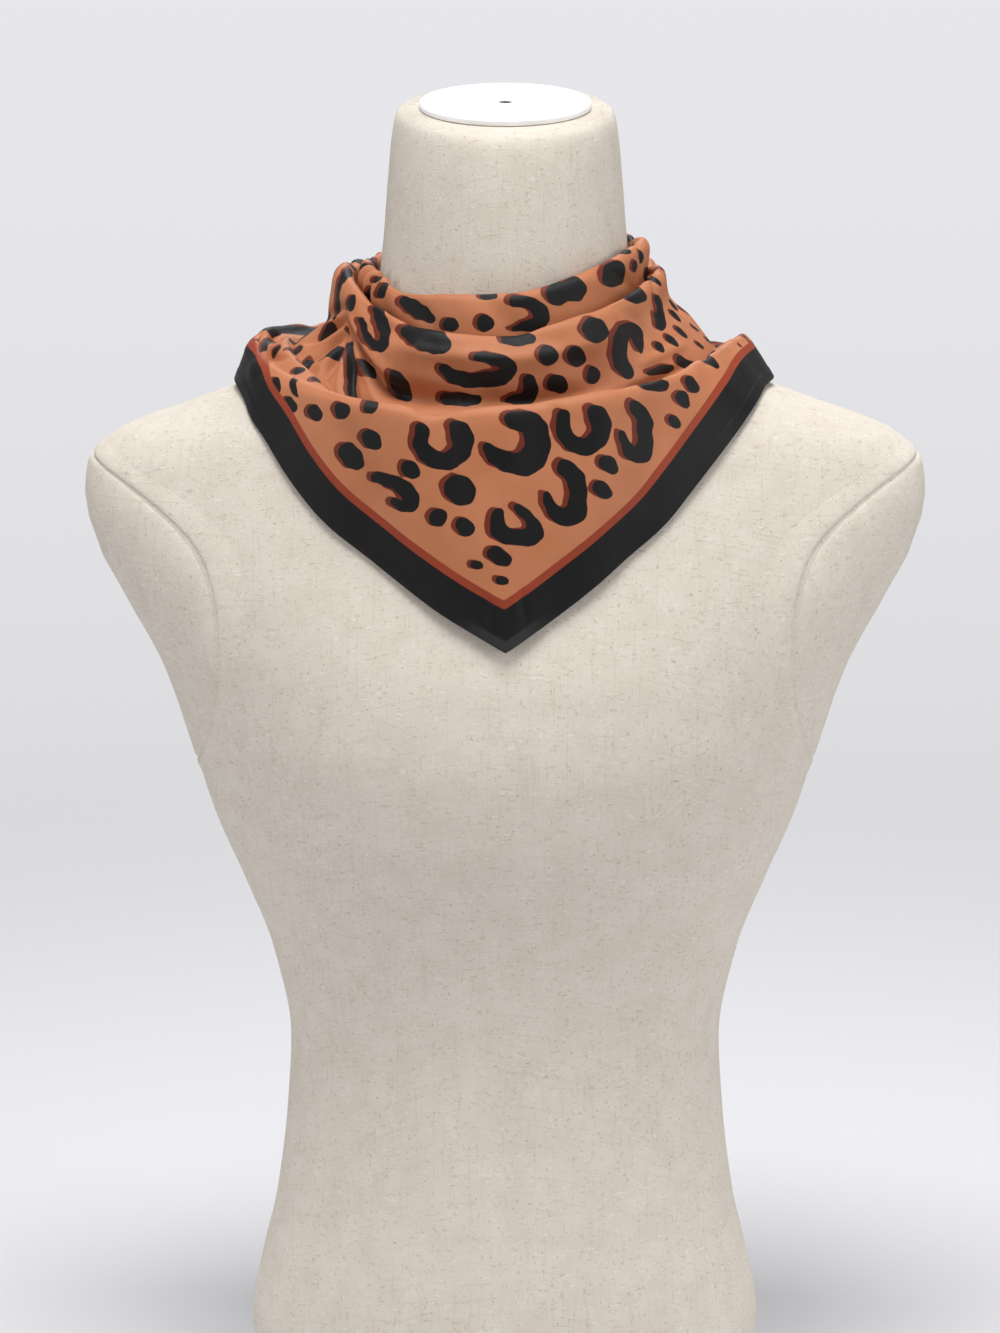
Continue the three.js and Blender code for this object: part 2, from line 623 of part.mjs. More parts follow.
// How far behind the neck's axis the form's back lies at a place across it.
function backDepth(x, height) {
  const n = formCurves.squareness(height);
  const side = Math.min(Math.abs(x) / formCurves.halfWidth(height), 0.98);
  return formCurves.back(height) * (1 - side ** n) ** (1 / n);
}
add('scarf_end_left', makeEnd(-1), silkBorder);
add('scarf_end_right', makeEnd(1), silkBorder);

export default scarfOnForm;
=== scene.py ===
import math

import bmesh
import bpy
import numpy as np
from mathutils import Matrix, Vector


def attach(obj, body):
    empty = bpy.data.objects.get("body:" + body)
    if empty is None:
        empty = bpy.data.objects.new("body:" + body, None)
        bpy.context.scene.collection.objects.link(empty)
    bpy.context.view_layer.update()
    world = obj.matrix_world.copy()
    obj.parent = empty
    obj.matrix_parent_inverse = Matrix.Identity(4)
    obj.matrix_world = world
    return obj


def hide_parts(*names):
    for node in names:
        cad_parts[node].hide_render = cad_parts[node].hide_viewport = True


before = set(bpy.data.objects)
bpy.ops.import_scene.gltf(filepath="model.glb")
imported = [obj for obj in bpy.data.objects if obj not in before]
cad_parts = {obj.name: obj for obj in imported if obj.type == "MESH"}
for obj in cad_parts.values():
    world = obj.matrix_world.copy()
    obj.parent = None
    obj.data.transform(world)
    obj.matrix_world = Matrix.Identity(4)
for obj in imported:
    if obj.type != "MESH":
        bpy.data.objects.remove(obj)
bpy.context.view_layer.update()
scene = bpy.context.scene
MM = 0.001

# Camera: level with the collar, looking down ten degrees. The photograph's pixels are square and
# one of them spans 0.49 mm where the form stands.
VIEW_TILT = math.radians(10)
VIEW_DISTANCE = 1750.0
VIEW_MIDDLE = np.array([-2.5, 0.0, 368.0])
PHOTO_WIDTH = 1000
PHOTO_HEIGHT = 1333
PHOTO_SCALE = 0.49
eye = VIEW_MIDDLE + VIEW_DISTANCE * np.array([0, -math.cos(VIEW_TILT), math.sin(VIEW_TILT)])
view_ahead = np.array([0, math.cos(VIEW_TILT), -math.sin(VIEW_TILT)])
view_up = np.array([0, math.sin(VIEW_TILT), math.cos(VIEW_TILT)])
bpy.ops.object.camera_add(location=eye * MM, rotation=(math.pi / 2 - VIEW_TILT, 0, 0))
camera = bpy.context.object
camera.data.lens = camera.data.sensor_width * VIEW_DISTANCE / (PHOTO_HEIGHT * PHOTO_SCALE)
camera.data.clip_end = 50
scene.camera = camera


def in_photo(points):
    """Where points, in mm, show in the photograph, in its pixels, and how far off they are."""
    away = points - eye
    depth = away @ view_ahead
    pixels = VIEW_DISTANCE / PHOTO_SCALE / depth
    across = PHOTO_WIDTH / 2 + away[..., 0] * pixels
    down = PHOTO_HEIGHT / 2 - (away @ view_up) * pixels
    return across, down, depth


def linear(red, green, blue):
    """A colour for a shader from the three 0 to 255 values that a screen shows it with."""
    shares = [value / 255 for value in (red, green, blue)]
    return [s / 12.92 if s <= 0.04045 else ((s + 0.055) / 1.055) ** 2.4 for s in shares] + [1.0]


# Floor and light: a pale matt floor that fades into an even pale room, one broad soft box overhead
# and in front of the form, and a weaker one at each side and behind. They are the room, not the object.
FLOOR_RADIUS = 4.0
FLOOR_FADES = (0.5, 1.9)
ROOM_LOW = (0.665, 0.665, 0.68, 1)
ROOM_HIGH = (0.80, 0.80, 0.83, 1)
ROOM_FADES = (-0.36, 0.02)
ROOM_LIGHT = 0.38
LIGHTS = [
    ("key", (-0.1, -0.62, 2.5), (0, 0, 0.5), 1.0, 43),
    ("fill_left", (-2.2, -1.3, 1.1), (0, 0, 0.4), 1.4, 15),
    ("fill_right", (2.2, -1.1, 1.2), (0, 0, 0.4), 1.4, 23),
    ("back_light", (0.3, 1.8, 2.3), (0, 0, 0.5), 1.2, 19),
]


def alone(*pieces):
    """Selects these pieces and nothing else, the last of them active."""
    bpy.ops.object.select_all(action="DESELECT")
    for piece in pieces:
        piece.select_set(True)
        bpy.context.view_layer.objects.active = piece


def new_material(name):
    """A node material, its tree and its shader."""
    material = bpy.data.materials.new(name)
    material.use_nodes = True
    return material, material.node_tree, material.node_tree.nodes["Principled BSDF"]


def node(tree, kind, **settings):
    made = tree.nodes.new(kind)
    for name, value in settings.items():
        setattr(made, name, value)
    return made


def set_inputs(made, values):
    """Sets a node's inputs by their names."""
    for name, value in values.items():
        made.inputs[name].default_value = value


def feed(tree, socket, value):
    """Links a socket's value, or sets it where it is plain numbers."""
    if isinstance(value, (int, float, list, tuple)):
        socket.default_value = value
    else:
        tree.links.new(value, socket)


def ramp(tree, value, low, high):
    """Nought at low and one at high, smoothly."""
    made = node(tree, "ShaderNodeMapRange", interpolation_type="SMOOTHSTEP")
    set_inputs(made, {"From Min": low, "From Max": high})
    tree.links.new(value, made.inputs["Value"])
    return made.outputs[0]


def blend_colours(tree, share, first, second):
    """One colour over another, each a socket or four numbers."""
    made = node(tree, "ShaderNodeMix", data_type="RGBA")
    for place, value in ((0, share), (6, first), (7, second)):
        feed(tree, made.inputs[place], value)
    return made.outputs[2]


def object_place(tree):
    """Where a surface point lies on its object, in metres."""
    return node(tree, "ShaderNodeTexCoord").outputs["Object"]


alone()
bpy.ops.mesh.primitive_circle_add(vertices=64, radius=FLOOR_RADIUS, fill_type="NGON")
floor = bpy.context.object
floor.name = "floor"
paint, tree, matt = new_material("pale_floor")
set_inputs(matt, {"Base Color": linear(222, 222, 225), "Roughness": 0.95, "Specular IOR Level": 0.1})
middle_out = node(tree, "ShaderNodeVectorMath", operation="LENGTH")
tree.links.new(object_place(tree), middle_out.inputs[0])
fade = node(tree, "ShaderNodeMixShader")
tree.links.new(ramp(tree, middle_out.outputs["Value"], *FLOOR_FADES), fade.inputs[0])
tree.links.new(matt.outputs[0], fade.inputs[1])
tree.links.new(node(tree, "ShaderNodeBsdfTransparent").outputs[0], fade.inputs[2])
tree.links.new(fade.outputs[0], tree.nodes["Material Output"].inputs["Surface"])
floor.data.materials.append(paint)

for name, place, target, size, power in LIGHTS:
    bpy.ops.object.light_add(type="AREA", location=place)
    light = bpy.context.object
    light.name = name
    light.data.size = size
    light.data.energy = power
    light.rotation_euler = (Vector(target) - Vector(place)).to_track_quat("-Z", "Y").to_euler()
room = bpy.data.worlds.new("room")
scene.world = room
room.use_nodes = True
tree = room.node_tree
air = tree.nodes["Background"]
looking = node(tree, "ShaderNodeSeparateXYZ")
tree.links.new(node(tree, "ShaderNodeTexCoord").outputs["Generated"], looking.inputs[0])
above = ramp(tree, looking.outputs["Z"], *ROOM_FADES)
tree.links.new(blend_colours(tree, above, ROOM_LOW, ROOM_HIGH), air.inputs["Color"])
seen = node(tree, "ShaderNodeMapRange")
set_inputs(seen, {"To Min": ROOM_LIGHT, "To Max": 1.0})
tree.links.new(node(tree, "ShaderNodeLightPath").outputs["Is Camera Ray"], seen.inputs["Value"])
tree.links.new(seen.outputs[0], air.inputs["Strength"])
scene.view_settings.view_transform = "Standard"

# Form's body: a half-body display form, firm foam under a cover of natural linen drawn smooth over
# it. The cover has an armhole at each side, closed by its own cap, and the neck's top slopes to the
# front.
FORM_ROUND = 220
WALL_RINGS = 181
RIM_DROPS = [6.5, 5, 3.6, 2.4, 1.4, 0.7, 0.2, 0]
RIM_DEEP = 8
BASE_GAP = 5.3
NECK_TILT = math.radians(12.5)
TILT_FROM = 575
FORM_TOP = 640
form_columns = ("height", "half_width", "front", "back", "squareness")
form_rows = [
    (0, 114, 74, 78, 2.3),
    (14, 123, 82, 88, 2.3),
    (40, 127, 88, 96, 2.3),
    (69, 122, 88, 95, 2.3),
    (101, 114.5, 85, 88, 2.25),
    (148, 108.5, 80, 78, 2.2),
    (184, 106.5, 78, 74, 2.15),
    (230, 115, 84, 75, 2.15),
    (266, 128.5, 96, 78, 2.2),
    (301, 143, 110, 82, 2.2),
    (341, 155, 116, 86, 2.25),
    (371, 165, 113, 88, 2.3),
    (401, 181, 105, 90, 2.35),
    (430, 196, 95, 90, 2.4),
    (455, 202.5, 86, 87, 2.4),
    (470, 201, 80, 84, 2.4),
    (484, 189, 75, 80, 2.35),
    (499, 151, 69, 76, 2.25),
    (508, 126, 66, 73, 2.2),
    (520, 95, 63, 68, 2.1),
    (534, 72, 61, 61, 2.0),
    (550, 62.5, 60.5, 56, 2.0),
    (573, 58.8, 60.5, 52, 2.0),
    (604, 56.2, 60, 48, 2.0),
    (630, 53.5, 58.5, 45, 2.0),
    (637, 51.5, 56.5, 43, 2.0),
    (640, 47, 52, 39, 2.0),
]


def eased(rows, columns, name, where):
    """A curve through a table's column, over its first one, that never overshoots its rows."""
    x = np.array([row[0] for row in rows], float)
    y = np.array([row[columns.index(name)] for row in rows], float)
    run = np.diff(x)
    rise = np.diff(y) / run
    slope = np.concatenate([rise[:1], np.zeros(len(x) - 2), rise[-1:]])
    same_way = rise[:-1] * rise[1:] > 0
    before = np.where(same_way, rise[:-1], 1.0)
    after = np.where(same_way, rise[1:], 1.0)
    first = 2 * run[1:] + run[:-1]
    second = run[1:] + 2 * run[:-1]
    slope[1:-1] = np.where(same_way, (first + second) / (first / before + second / after), 0.0)
    at = np.clip(np.asarray(where, float), x[0], x[-1])
    i = np.clip(np.searchsorted(x, at, side="right") - 1, 0, len(x) - 2)
    t = (at - x[i]) / run[i]
    s = 1 - t
    return ((1 + 2 * t) * s * s * y[i] + t * s * s * run[i] * slope[i]
            + t * t * (3 - 2 * t) * y[i + 1] - t * t * s * run[i] * slope[i + 1])


def form_size(name, height):
    return eased(form_rows, form_columns, name, height)


def form_reach(turn, height):
    """From the neck's axis to the form's surface, at a turn in degrees and a height."""
    side = np.abs(np.sin(np.radians(turn)))
    ahead = np.cos(np.radians(turn))
    depth = np.where(ahead > 0, form_size("front", height), form_size("back", height))
    n = form_size("squareness", height)
    return ((side / form_size("half_width", height)) ** n + (np.abs(ahead) / depth) ** n) ** (-1 / n)


def around(turn, reach, height):
    """The point at a turn, a reach from the neck's axis and a height."""
    turn, reach, height = np.broadcast_arrays(np.radians(turn), reach, height)
    return np.stack([reach * np.sin(turn), -reach * np.cos(turn), height], axis=-1)


def leaned(points):
    """Above the collar the form leans, so that its top slopes down to the front."""
    share = np.clip((points[..., 2] - TILT_FROM) / (FORM_TOP - TILT_FROM), 0, 1)
    share = share * share * (3 - 2 * share)
    moved = points.copy()
    moved[..., 2] += share * math.tan(NECK_TILT) * points[..., 1]
    return moved


def new_grid(name, columns, rows):
    """A flat grid with that many squares each way, and each vertex's column and row."""
    alone()
    bpy.ops.mesh.primitive_grid_add(
        x_subdivisions=columns, y_subdivisions=rows, size=1, calc_uvs=True
    )
    piece = bpy.context.object
    piece.name = name
    flat = np.zeros(len(piece.data.vertices) * 3)
    piece.data.vertices.foreach_get("co", flat)
    flat = flat.reshape(-1, 3)
    column = np.rint((flat[:, 0] + 0.5) * columns).astype(int)
    row = np.rint((flat[:, 1] + 0.5) * rows).astype(int)
    return piece, column, row


def place_grid(piece, column, row, points, across, along):
    """Moves a grid's vertices to points[column, row], in mm, with a UV map of metres of cloth."""
    mesh = piece.data
    mesh.vertices.foreach_set("co", (points[column, row] * MM).ravel())
    corner = np.zeros(len(mesh.loops), int)
    mesh.loops.foreach_get("vertex_index", corner)
    uv = np.stack([across[column, row], along[column, row]], axis=-1) * MM
    mesh.uv_layers[0].data.foreach_set("uv", uv[corner].ravel())
    mesh.update()


MERGE_WITHIN = 0.00001
NO_LENGTH = 0.000001


def weld(piece, outward=True):
    """Merges what lies in one place, turns the faces outward and smooths the shading."""
    alone(piece)
    bpy.ops.object.mode_set(mode="EDIT")
    bpy.ops.mesh.select_all(action="SELECT")
    bpy.ops.mesh.remove_doubles(threshold=MERGE_WITHIN)
    bpy.ops.mesh.dissolve_degenerate(threshold=NO_LENGTH)
    if outward:
        bpy.ops.mesh.normals_make_consistent(inside=False)
    bpy.ops.object.mode_set(mode="OBJECT")
    piece.data.shade_smooth()


def put_on(piece, material, slot, *nodes):
    """Gives a piece its material, hides the CAD nodes it stands for, and hangs it from the root body."""
    piece.data.materials.append(material)
    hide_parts(*nodes)
    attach(piece, "root")


def run_length(points, axis):
    """The distance walked along one axis of a grid of points, from its first."""
    steps = np.linalg.norm(np.diff(points, axis=axis), axis=-1)
    start = np.zeros_like(np.take(steps, [0], axis=axis))
    return np.concatenate([start, np.cumsum(steps, axis=axis)], axis=axis)


wall_heights = np.linspace(BASE_GAP, FORM_TOP - RIM_DEEP, WALL_RINGS)
rim_heights = FORM_TOP - np.array(RIM_DROPS)
heights = np.concatenate([[BASE_GAP], wall_heights, rim_heights, [FORM_TOP]])
insets = np.concatenate([[0.0], np.ones(len(wall_heights) + len(rim_heights)), [0.0]])
turns = np.linspace(-180, 180, FORM_ROUND + 1)
reach = form_reach(turns[:, None], heights[None, :]) * np.maximum(insets, NO_LENGTH)
torso_points = leaned(around(turns[:, None], reach, heights[None, :]))
torso, column, row = new_grid("torso", FORM_ROUND, len(heights) - 1)
ring_length = run_length(torso_points, 0)
ring_length = ring_length - ring_length[FORM_ROUND // 2]
place_grid(torso, column, row, torso_points, ring_length, run_length(torso_points, 1))
weld(torso)

# Weave: threads under and over each other, some of them thicker than the rest. Linen and silk both
# have it, each at its own thread size.
THREAD_WOBBLE = 1.2
SLUB_DRAWN = 0.06
SLUB_SHOWS = (0.56, 0.74)
weave = bpy.data.node_groups.new("woven threads", "ShaderNodeTree")
for name, kind, value in [
    ("Vector", "NodeSocketVector", None),
    ("Threads per metre", "NodeSocketFloat", 1600),
    ("Unevenness", "NodeSocketFloat", 0.4),
    ("Slub length", "NodeSocketFloat", 60),
]:
    socket = weave.interface.new_socket(name=name, in_out="INPUT", socket_type=kind)
    if value is not None:
        socket.default_value = value
for name in ("Height", "Slubs"):
    weave.interface.new_socket(name=name, in_out="OUTPUT", socket_type="NodeSocketFloat")


def math_node(tree, operation, first, second=None, third=None):
    """A math node fed by sockets or numbers, giving its output socket."""
    made = node(tree, "ShaderNodeMath", operation=operation)
    for socket, value in zip(made.inputs, (first, second, third)):
        if value is not None:
            feed(tree, socket, value)
    return made.outputs[0]


def noise(tree, vector, scale, detail=2.0, stretch=None):
    """Noise on a vector, drawn out by stretch along each axis."""
    if stretch is not None:
        mapping = node(tree, "ShaderNodeMapping")
        set_inputs(mapping, {"Scale": stretch})
        tree.links.new(vector, mapping.inputs["Vector"])
        vector = mapping.outputs[0]
    made = node(tree, "ShaderNodeTexNoise")
    made.inputs["Detail"].default_value = detail
    feed(tree, made.inputs["Scale"], scale)
    tree.links.new(vector, made.inputs["Vector"])
    return made.outputs[0]


inside = node(weave, "NodeGroupInput")
outside = node(weave, "NodeGroupOutput")
split = node(weave, "ShaderNodeSeparateXYZ")
weave.links.new(inside.outputs["Vector"], split.inputs[0])
slub_scale = math_node(weave, "MULTIPLY", inside.outputs["Slub length"], 12)
threads = []
slubs = []
for axis, stretch in ((1, (SLUB_DRAWN, 1, 1)), (0, (1, SLUB_DRAWN, 1))):
    wobble = math_node(weave, "MULTIPLY", noise(weave, inside.outputs["Vector"], 180, 1), THREAD_WOBBLE)
    phase = math_node(weave, "MULTIPLY", split.outputs[axis], inside.outputs["Threads per metre"])
    phase = math_node(weave, "ADD", phase, wobble)
    threads.append(math_node(weave, "SINE", math_node(weave, "MULTIPLY", phase, 2 * math.pi)))
    slubs.append(ramp(weave, noise(weave, inside.outputs["Vector"], slub_scale, 1, stretch), *SLUB_SHOWS))
crossing = math_node(weave, "MULTIPLY", threads[0], threads[1])
uneven = math_node(weave, "ADD", slubs[0], slubs[1])
height = math_node(weave, "ADD", math_node(weave, "MULTIPLY", crossing, 0.5),
                   math_node(weave, "MULTIPLY", uneven, inside.outputs["Unevenness"]))
weave.links.new(height, outside.inputs["Height"])
weave.links.new(uneven, outside.inputs["Slubs"])


def weave_node(tree, threads_per_metre, unevenness, slub_length):
    made = node(tree, "ShaderNodeGroup", node_tree=weave)
    set_inputs(made, {
        "Threads per metre": threads_per_metre, "Unevenness": unevenness, "Slub length": slub_length
    })
    tree.links.new(node(tree, "ShaderNodeUVMap").outputs[0], made.inputs["Vector"])
    return made


def bump(tree, shader, height, strength, distance):
    """Raises a surface by a height, its distance in metres."""
    relief = node(tree, "ShaderNodeBump")
    set_inputs(relief, {"Strength": strength, "Distance": distance})
    tree.links.new(height, relief.inputs["Height"])
    tree.links.new(relief.outputs[0], shader.inputs["Normal"])


# Linen cover cloth: natural oatmeal, woven with slubs, with brown and pale flecks a millimetre or
# two long. A row of flecks has how they are drawn out, the noise above which they show, their colour
# and their share.
FLECK_SCALE = 760
FLECK_EDGE = 0.05
LINEN_FLECKS = [
    ((0.3, 0.3, 1.0), 0.65, (178, 160, 134), 0.3),
    ((1.0, 1.0, 0.35), 0.66, (178, 160, 136), 0.28),
    ((0.9, 0.9, 0.9), 0.69, (150, 126, 96), 0.45),
    ((0.35, 0.35, 1.0), 0.65, (238, 232, 221), 0.5),
]
linen, tree, skin = new_material("natural_linen")
cloth = weave_node(tree, 1250, 0.45, 42)
spot = object_place(tree)
mottle = ramp(tree, noise(tree, spot, 70, 4), 0.3, 0.7)
colour = blend_colours(tree, mottle, linear(221, 211, 197), linear(227, 218, 205))
slub_share = math_node(tree, "MULTIPLY", cloth.outputs["Slubs"], 0.16)
colour = blend_colours(tree, slub_share, colour, linear(196, 184, 165))
for stretch, low, tone, share in LINEN_FLECKS:
    flecks = ramp(tree, noise(tree, spot, FLECK_SCALE, 1, stretch), low, low + FLECK_EDGE)
    colour = blend_colours(tree, math_node(tree, "MULTIPLY", flecks, share), colour, linear(*tone))
tree.links.new(colour, skin.inputs["Base Color"])
set_inputs(skin, {
    "Roughness": 0.92, "Specular IOR Level": 0.22, "Sheen Weight": 0.12, "Sheen Roughness": 0.6
})
surface = math_node(tree, "ADD", cloth.outputs["Height"], noise(tree, spot, 900, 2))
bump(tree, skin, surface, 0.55, 0.0004)
put_on(torso, linen, "linen", "form_torso")

# Armhole caps: an oval of the same linen over a firm disc, set into each armhole. The cover's edge
# is turned in round it, so the two meet in a narrow valley.
ARMHOLE_MIDDLE = 400
ARMHOLE_HALF_HEIGHT = 75
ARMHOLE_HALF_DEPTH = 78
ARMHOLE_SQUARENESS = 2.25
CAP_ROUND = 120
HOLE_WITHIN = 0.005
cap_profile = [(0.02, 0.9), (0.2, 0.9), (0.4, 0.9), (0.6, 0.9), (0.75, 0.9), (0.87, 0.9), (0.94, 0.85),
               (0.965, 0.75), (0.98, 0.55), (0.99, 0.1), (0.994, -0.6), (0.996, -1.6)]
fold_profile = [(1.002, -1.6), (1.004, -0.6), (1.008, 0.35), (1.018, 0.75), (1.032, 0.8), (1.05, 0.55),
                (1.08, 0.12), (1.12, -0.35)]


def on_side(side, across, up, proud):
    """A point of the form's side surface, from its depth and height, raised by proud."""
    n = form_size("squareness", up)
    depth = np.where(across < 0, form_size("front", up), form_size("back", up))
    share = np.clip(np.abs(across) / depth, 0, 0.999)
    out = form_size("half_width", up) * (1 - share ** n) ** (1 / n)
    normal = np.stack([np.ones_like(out), 0.9 * across / depth, np.zeros_like(out)], axis=-1)
    normal = normal / np.linalg.norm(normal, axis=-1, keepdims=True)
    points = np.stack([out, across, up], axis=-1) + normal * proud[..., None]
    points[..., 0] *= side
    return points


def close_and_turn(piece, is_hole=None, side=0):
    """Fills the holes whose edges is_hole picks, and turns the faces out, to a side if one is given."""
    shape = bmesh.new()
    shape.from_mesh(piece.data)
    if is_hole is not None:
        open_edges = [edge for edge in shape.edges if edge.is_boundary and is_hole(edge)]
        bmesh.ops.holes_fill(shape, edges=open_edges)
    bmesh.ops.recalc_face_normals(shape, faces=shape.faces)
    widest = max(shape.faces, key=lambda face: face.calc_area())
    if widest.normal.x * side < 0:
        bmesh.ops.reverse_faces(shape, faces=shape.faces)
    shape.to_mesh(piece.data)
    shape.free()
    piece.data.shade_smooth()


def at_middle(edge):
    return abs(edge.verts[0].co.z - ARMHOLE_MIDDLE * MM) < HOLE_WITHIN


def oval_patch(name, side, profile):
    """A ring or disc of cloth on the form's side, from rows of share of the oval and proudness."""
    angle = np.linspace(0, 2 * math.pi, CAP_ROUND + 1)
    power = 2 / ARMHOLE_SQUARENESS
    across = np.sign(np.cos(angle)) * np.abs(np.cos(angle)) ** power * ARMHOLE_HALF_DEPTH
    up = np.sign(np.sin(angle)) * np.abs(np.sin(angle)) ** power * ARMHOLE_HALF_HEIGHT
    share, proud = np.array(profile).T
    y = across[:, None] * share
    z = ARMHOLE_MIDDLE + up[:, None] * share
    points = on_side(side, y, z, np.broadcast_to(proud, y.shape))
    patch, column, row = new_grid(name, CAP_ROUND, len(profile) - 1)
    place_grid(patch, column, row, points, y, z)
    weld(patch, outward=False)
    close_and_turn(patch, at_middle if share[0] < 0.5 else None, side)
    return patch


turned_edges = []
for side, hand in ((-1, "left"), (1, "right")):
    put_on(oval_patch(f"arm_cap_{hand}", side, cap_profile), linen, "linen", f"form_arm_cap_{hand}")
    turned_edges.append(oval_patch(f"turned_edge_{hand}", side, fold_profile))
    turned_edges[-1].data.materials.append(linen)
alone(*turned_edges, torso)
bpy.ops.object.join()

# Neck disc: a moulded white plastic cover on the neck's sloping top. It has a softened rim, and in
# its middle a hole for a finial, lined with dark steel and floored with it: the steel's dark grey is
# partly painted shade, the shade down in the hole.
DISC_HALF_WIDTH = 41
DISC_HALF_DEPTH = 38
DISC_THICK = 3
DISC_HOLE = 3.5
DISC_ROUND = 96
DISC_RIM = 0.9
DISC_LIFT = 0.3
SHARP_ANGLE = 0.8
disc_middle = (form_size("back", FORM_TOP) - form_size("front", FORM_TOP)) / 2
alone()
bpy.ops.mesh.primitive_cylinder_add(
    vertices=DISC_ROUND, radius=DISC_HALF_WIDTH * MM, depth=DISC_THICK * MM, end_fill_type="NGON"
)
disc = bpy.context.object
disc.name = "neck_disc_cover"
shape = bmesh.new()
shape.from_mesh(disc.data)
lids = [face for face in shape.faces if abs(face.normal.z) > 0.5]
bmesh.ops.inset_region(shape, faces=lids, thickness=(DISC_HALF_WIDTH - DISC_HOLE) * MM)
middles = [face for face in shape.faces if len(face.verts) > 4]
bmesh.ops.delete(shape, geom=middles, context="FACES_ONLY")
inner = [edge for edge in shape.edges if edge.is_boundary]
bore = bmesh.ops.bridge_loops(shape, edges=inner)["faces"]
# The hole gets a floor of dark faces, a sheet of painted shade at its foot.
bottom = [vert for face in bore for vert in face.verts if vert.co.z < 0]
bore_shade_floor = bmesh.ops.contextual_create(shape, geom=list(dict.fromkeys(bottom)))["faces"]
for face in bore + bore_shade_floor:
    face.material_index = 1
rims = []
for edge in shape.edges:
    is_level = abs(edge.verts[0].co.z - edge.verts[1].co.z) < NO_LENGTH
    if is_level and len(edge.link_faces) == 2 and edge.calc_face_angle(0) > SHARP_ANGLE:
        rims.append(edge)
bmesh.ops.bevel(shape, geom=rims, offset=DISC_RIM * MM, segments=4, profile=0.5, affect="EDGES")
bmesh.ops.recalc_face_normals(shape, faces=shape.faces)
disc_height = FORM_TOP + DISC_LIFT + DISC_THICK / 2 + math.tan(NECK_TILT) * disc_middle
for vert in shape.verts:
    vert.co.y *= DISC_HALF_DEPTH / DISC_HALF_WIDTH
    y, z = vert.co.y, vert.co.z
    vert.co.y = y * math.cos(NECK_TILT) - z * math.sin(NECK_TILT) + disc_middle * MM
    vert.co.z = y * math.sin(NECK_TILT) + z * math.cos(NECK_TILT) + disc_height * MM
shape.to_mesh(disc.data)
shape.free()
alone(disc)
bpy.ops.object.shade_smooth_by_angle(angle=math.radians(30))
plastic, tree, skin = new_material("moulded_white_plastic")
spot = object_place(tree)
haze = ramp(tree, noise(tree, spot, 60, 3), 0.35, 0.7)
colour = blend_colours(tree, haze, linear(238, 238, 238), linear(247, 247, 247))
tree.links.new(colour, skin.inputs["Base Color"])
tree.links.new(math_node(tree, "MULTIPLY_ADD", haze, 0.1, 0.38), skin.inputs["Roughness"])
bump(tree, skin, noise(tree, spot, 1500, 2), 0.15, 0.0002)
put_on(disc, plastic, "plastic", "neck_disc")
# Dark steel for the hole's lining and floor, darkened to paint the shade inside the hole.
steel_and_shade_lining, tree, skin = new_material("dark_steel_and_painted_shade")
# Random wear on the steel, darker and lighter patches.
wear_and_sheen = ramp(tree, noise(tree, object_place(tree), 900, 3), 0.4, 0.7)
tree.links.new(blend_colours(tree, wear_and_sheen, linear(58, 57, 56), linear(84, 82, 80)), skin.inputs["Base Color"])
tree.links.new(math_node(tree, "MULTIPLY_ADD", wear_and_sheen, 0.2, 0.5), skin.inputs["Roughness"])
skin.inputs["Metallic"].default_value = 0.6
disc.data.materials.append(steel_and_shade_lining)

# Base: a flat moulded board under the form, which stands on it. Its own CAD shape is right as it is,
# so it stays and gets the plastic.
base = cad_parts["form_base"]
base.data.materials.clear()
base.data.materials.append(plastic)

# Scarf's folds: the square is folded corner to corner, its folded edge rolled under at the neck and
# the depth gathered into three falls. These lines run round the neck from the roll to the hem. Reach
# is from the neck's axis, and bend is half the width of a fold's rounded edge.
CLEAR = 2.4
ROLL_DEPTH = 12
ROLL_EDGE = 1.75
BEND_DROP = 0.8
POINT_ROUND = 6
FALL_SWELL = 7.5
FALL_LONG = 110
FALL_STOPS = (0.22, 0.48, 0.74, 1)
path = ("turn", "reach", "height", "bend")
neck_crest = [
    (-165, 62, 568, 1.5), (-140, 62.6, 568, 2), (-115, 63.8, 567.5, 2.6), (-90, 66.4, 566, 2.8),
    (-72, 66.5, 561.5, 2.7), (-54, 67.6, 557, 2.6), (-43, 69.6, 554, 2.2), (-21, 69.6, 554.3, 2.4),
    (0, 68.6, 554.8, 2.6), (13, 68.4, 556.5, 2.8), (31, 67.4, 563, 3), (43, 66.2, 567.5, 2.8),
    (63, 65.2, 573.5, 2.7), (86, 65, 576, 2.7), (110, 64.2, 576, 2.6), (140, 62.4, 571, 2.2),
    (165, 62, 568, 1.5),
]
neck_tuck = [
    (-165, 65, 555, 1.6), (-140, 66.6, 554, 1.7), (-115, 69.2, 552, 1.8), (-90, 71.4, 549.5, 1.8),
    (-72, 71.8, 544, 1.8), (-54, 72.8, 536, 1.8), (-38, 75, 529, 1.7), (-20, 76.8, 524, 1.7),
    (0, 77, 522, 1.7), (20, 76.6, 527, 1.7), (40, 74, 537, 1.7), (63, 70.6, 551, 1.8),
    (86, 69.6, 557, 1.8), (110, 68.6, 557, 1.8), (140, 66.6, 555.5, 1.6), (165, 65, 555, 1.6),
]
middle_crest = [
    (-165, 68.2, 565.5, 1.6), (-140, 70.8, 565, 2), (-115, 74.6, 564.5, 3), (-92, 77.5, 564, 3.8),
    (-70, 76, 555, 3.4), (-54, 77.4, 547.5, 3), (-38, 80, 542.5, 2.8), (-21, 83.2, 538, 2.8),
    (0, 83.4, 536, 3), (13, 83.4, 540.5, 3), (32, 82.2, 547.5, 3), (58, 76.2, 557.5, 3),
    (86, 73.8, 563.5, 2.6), (110, 72.8, 564, 2.6), (140, 70.6, 564, 2.1), (165, 68.2, 565.5, 1.6),
]
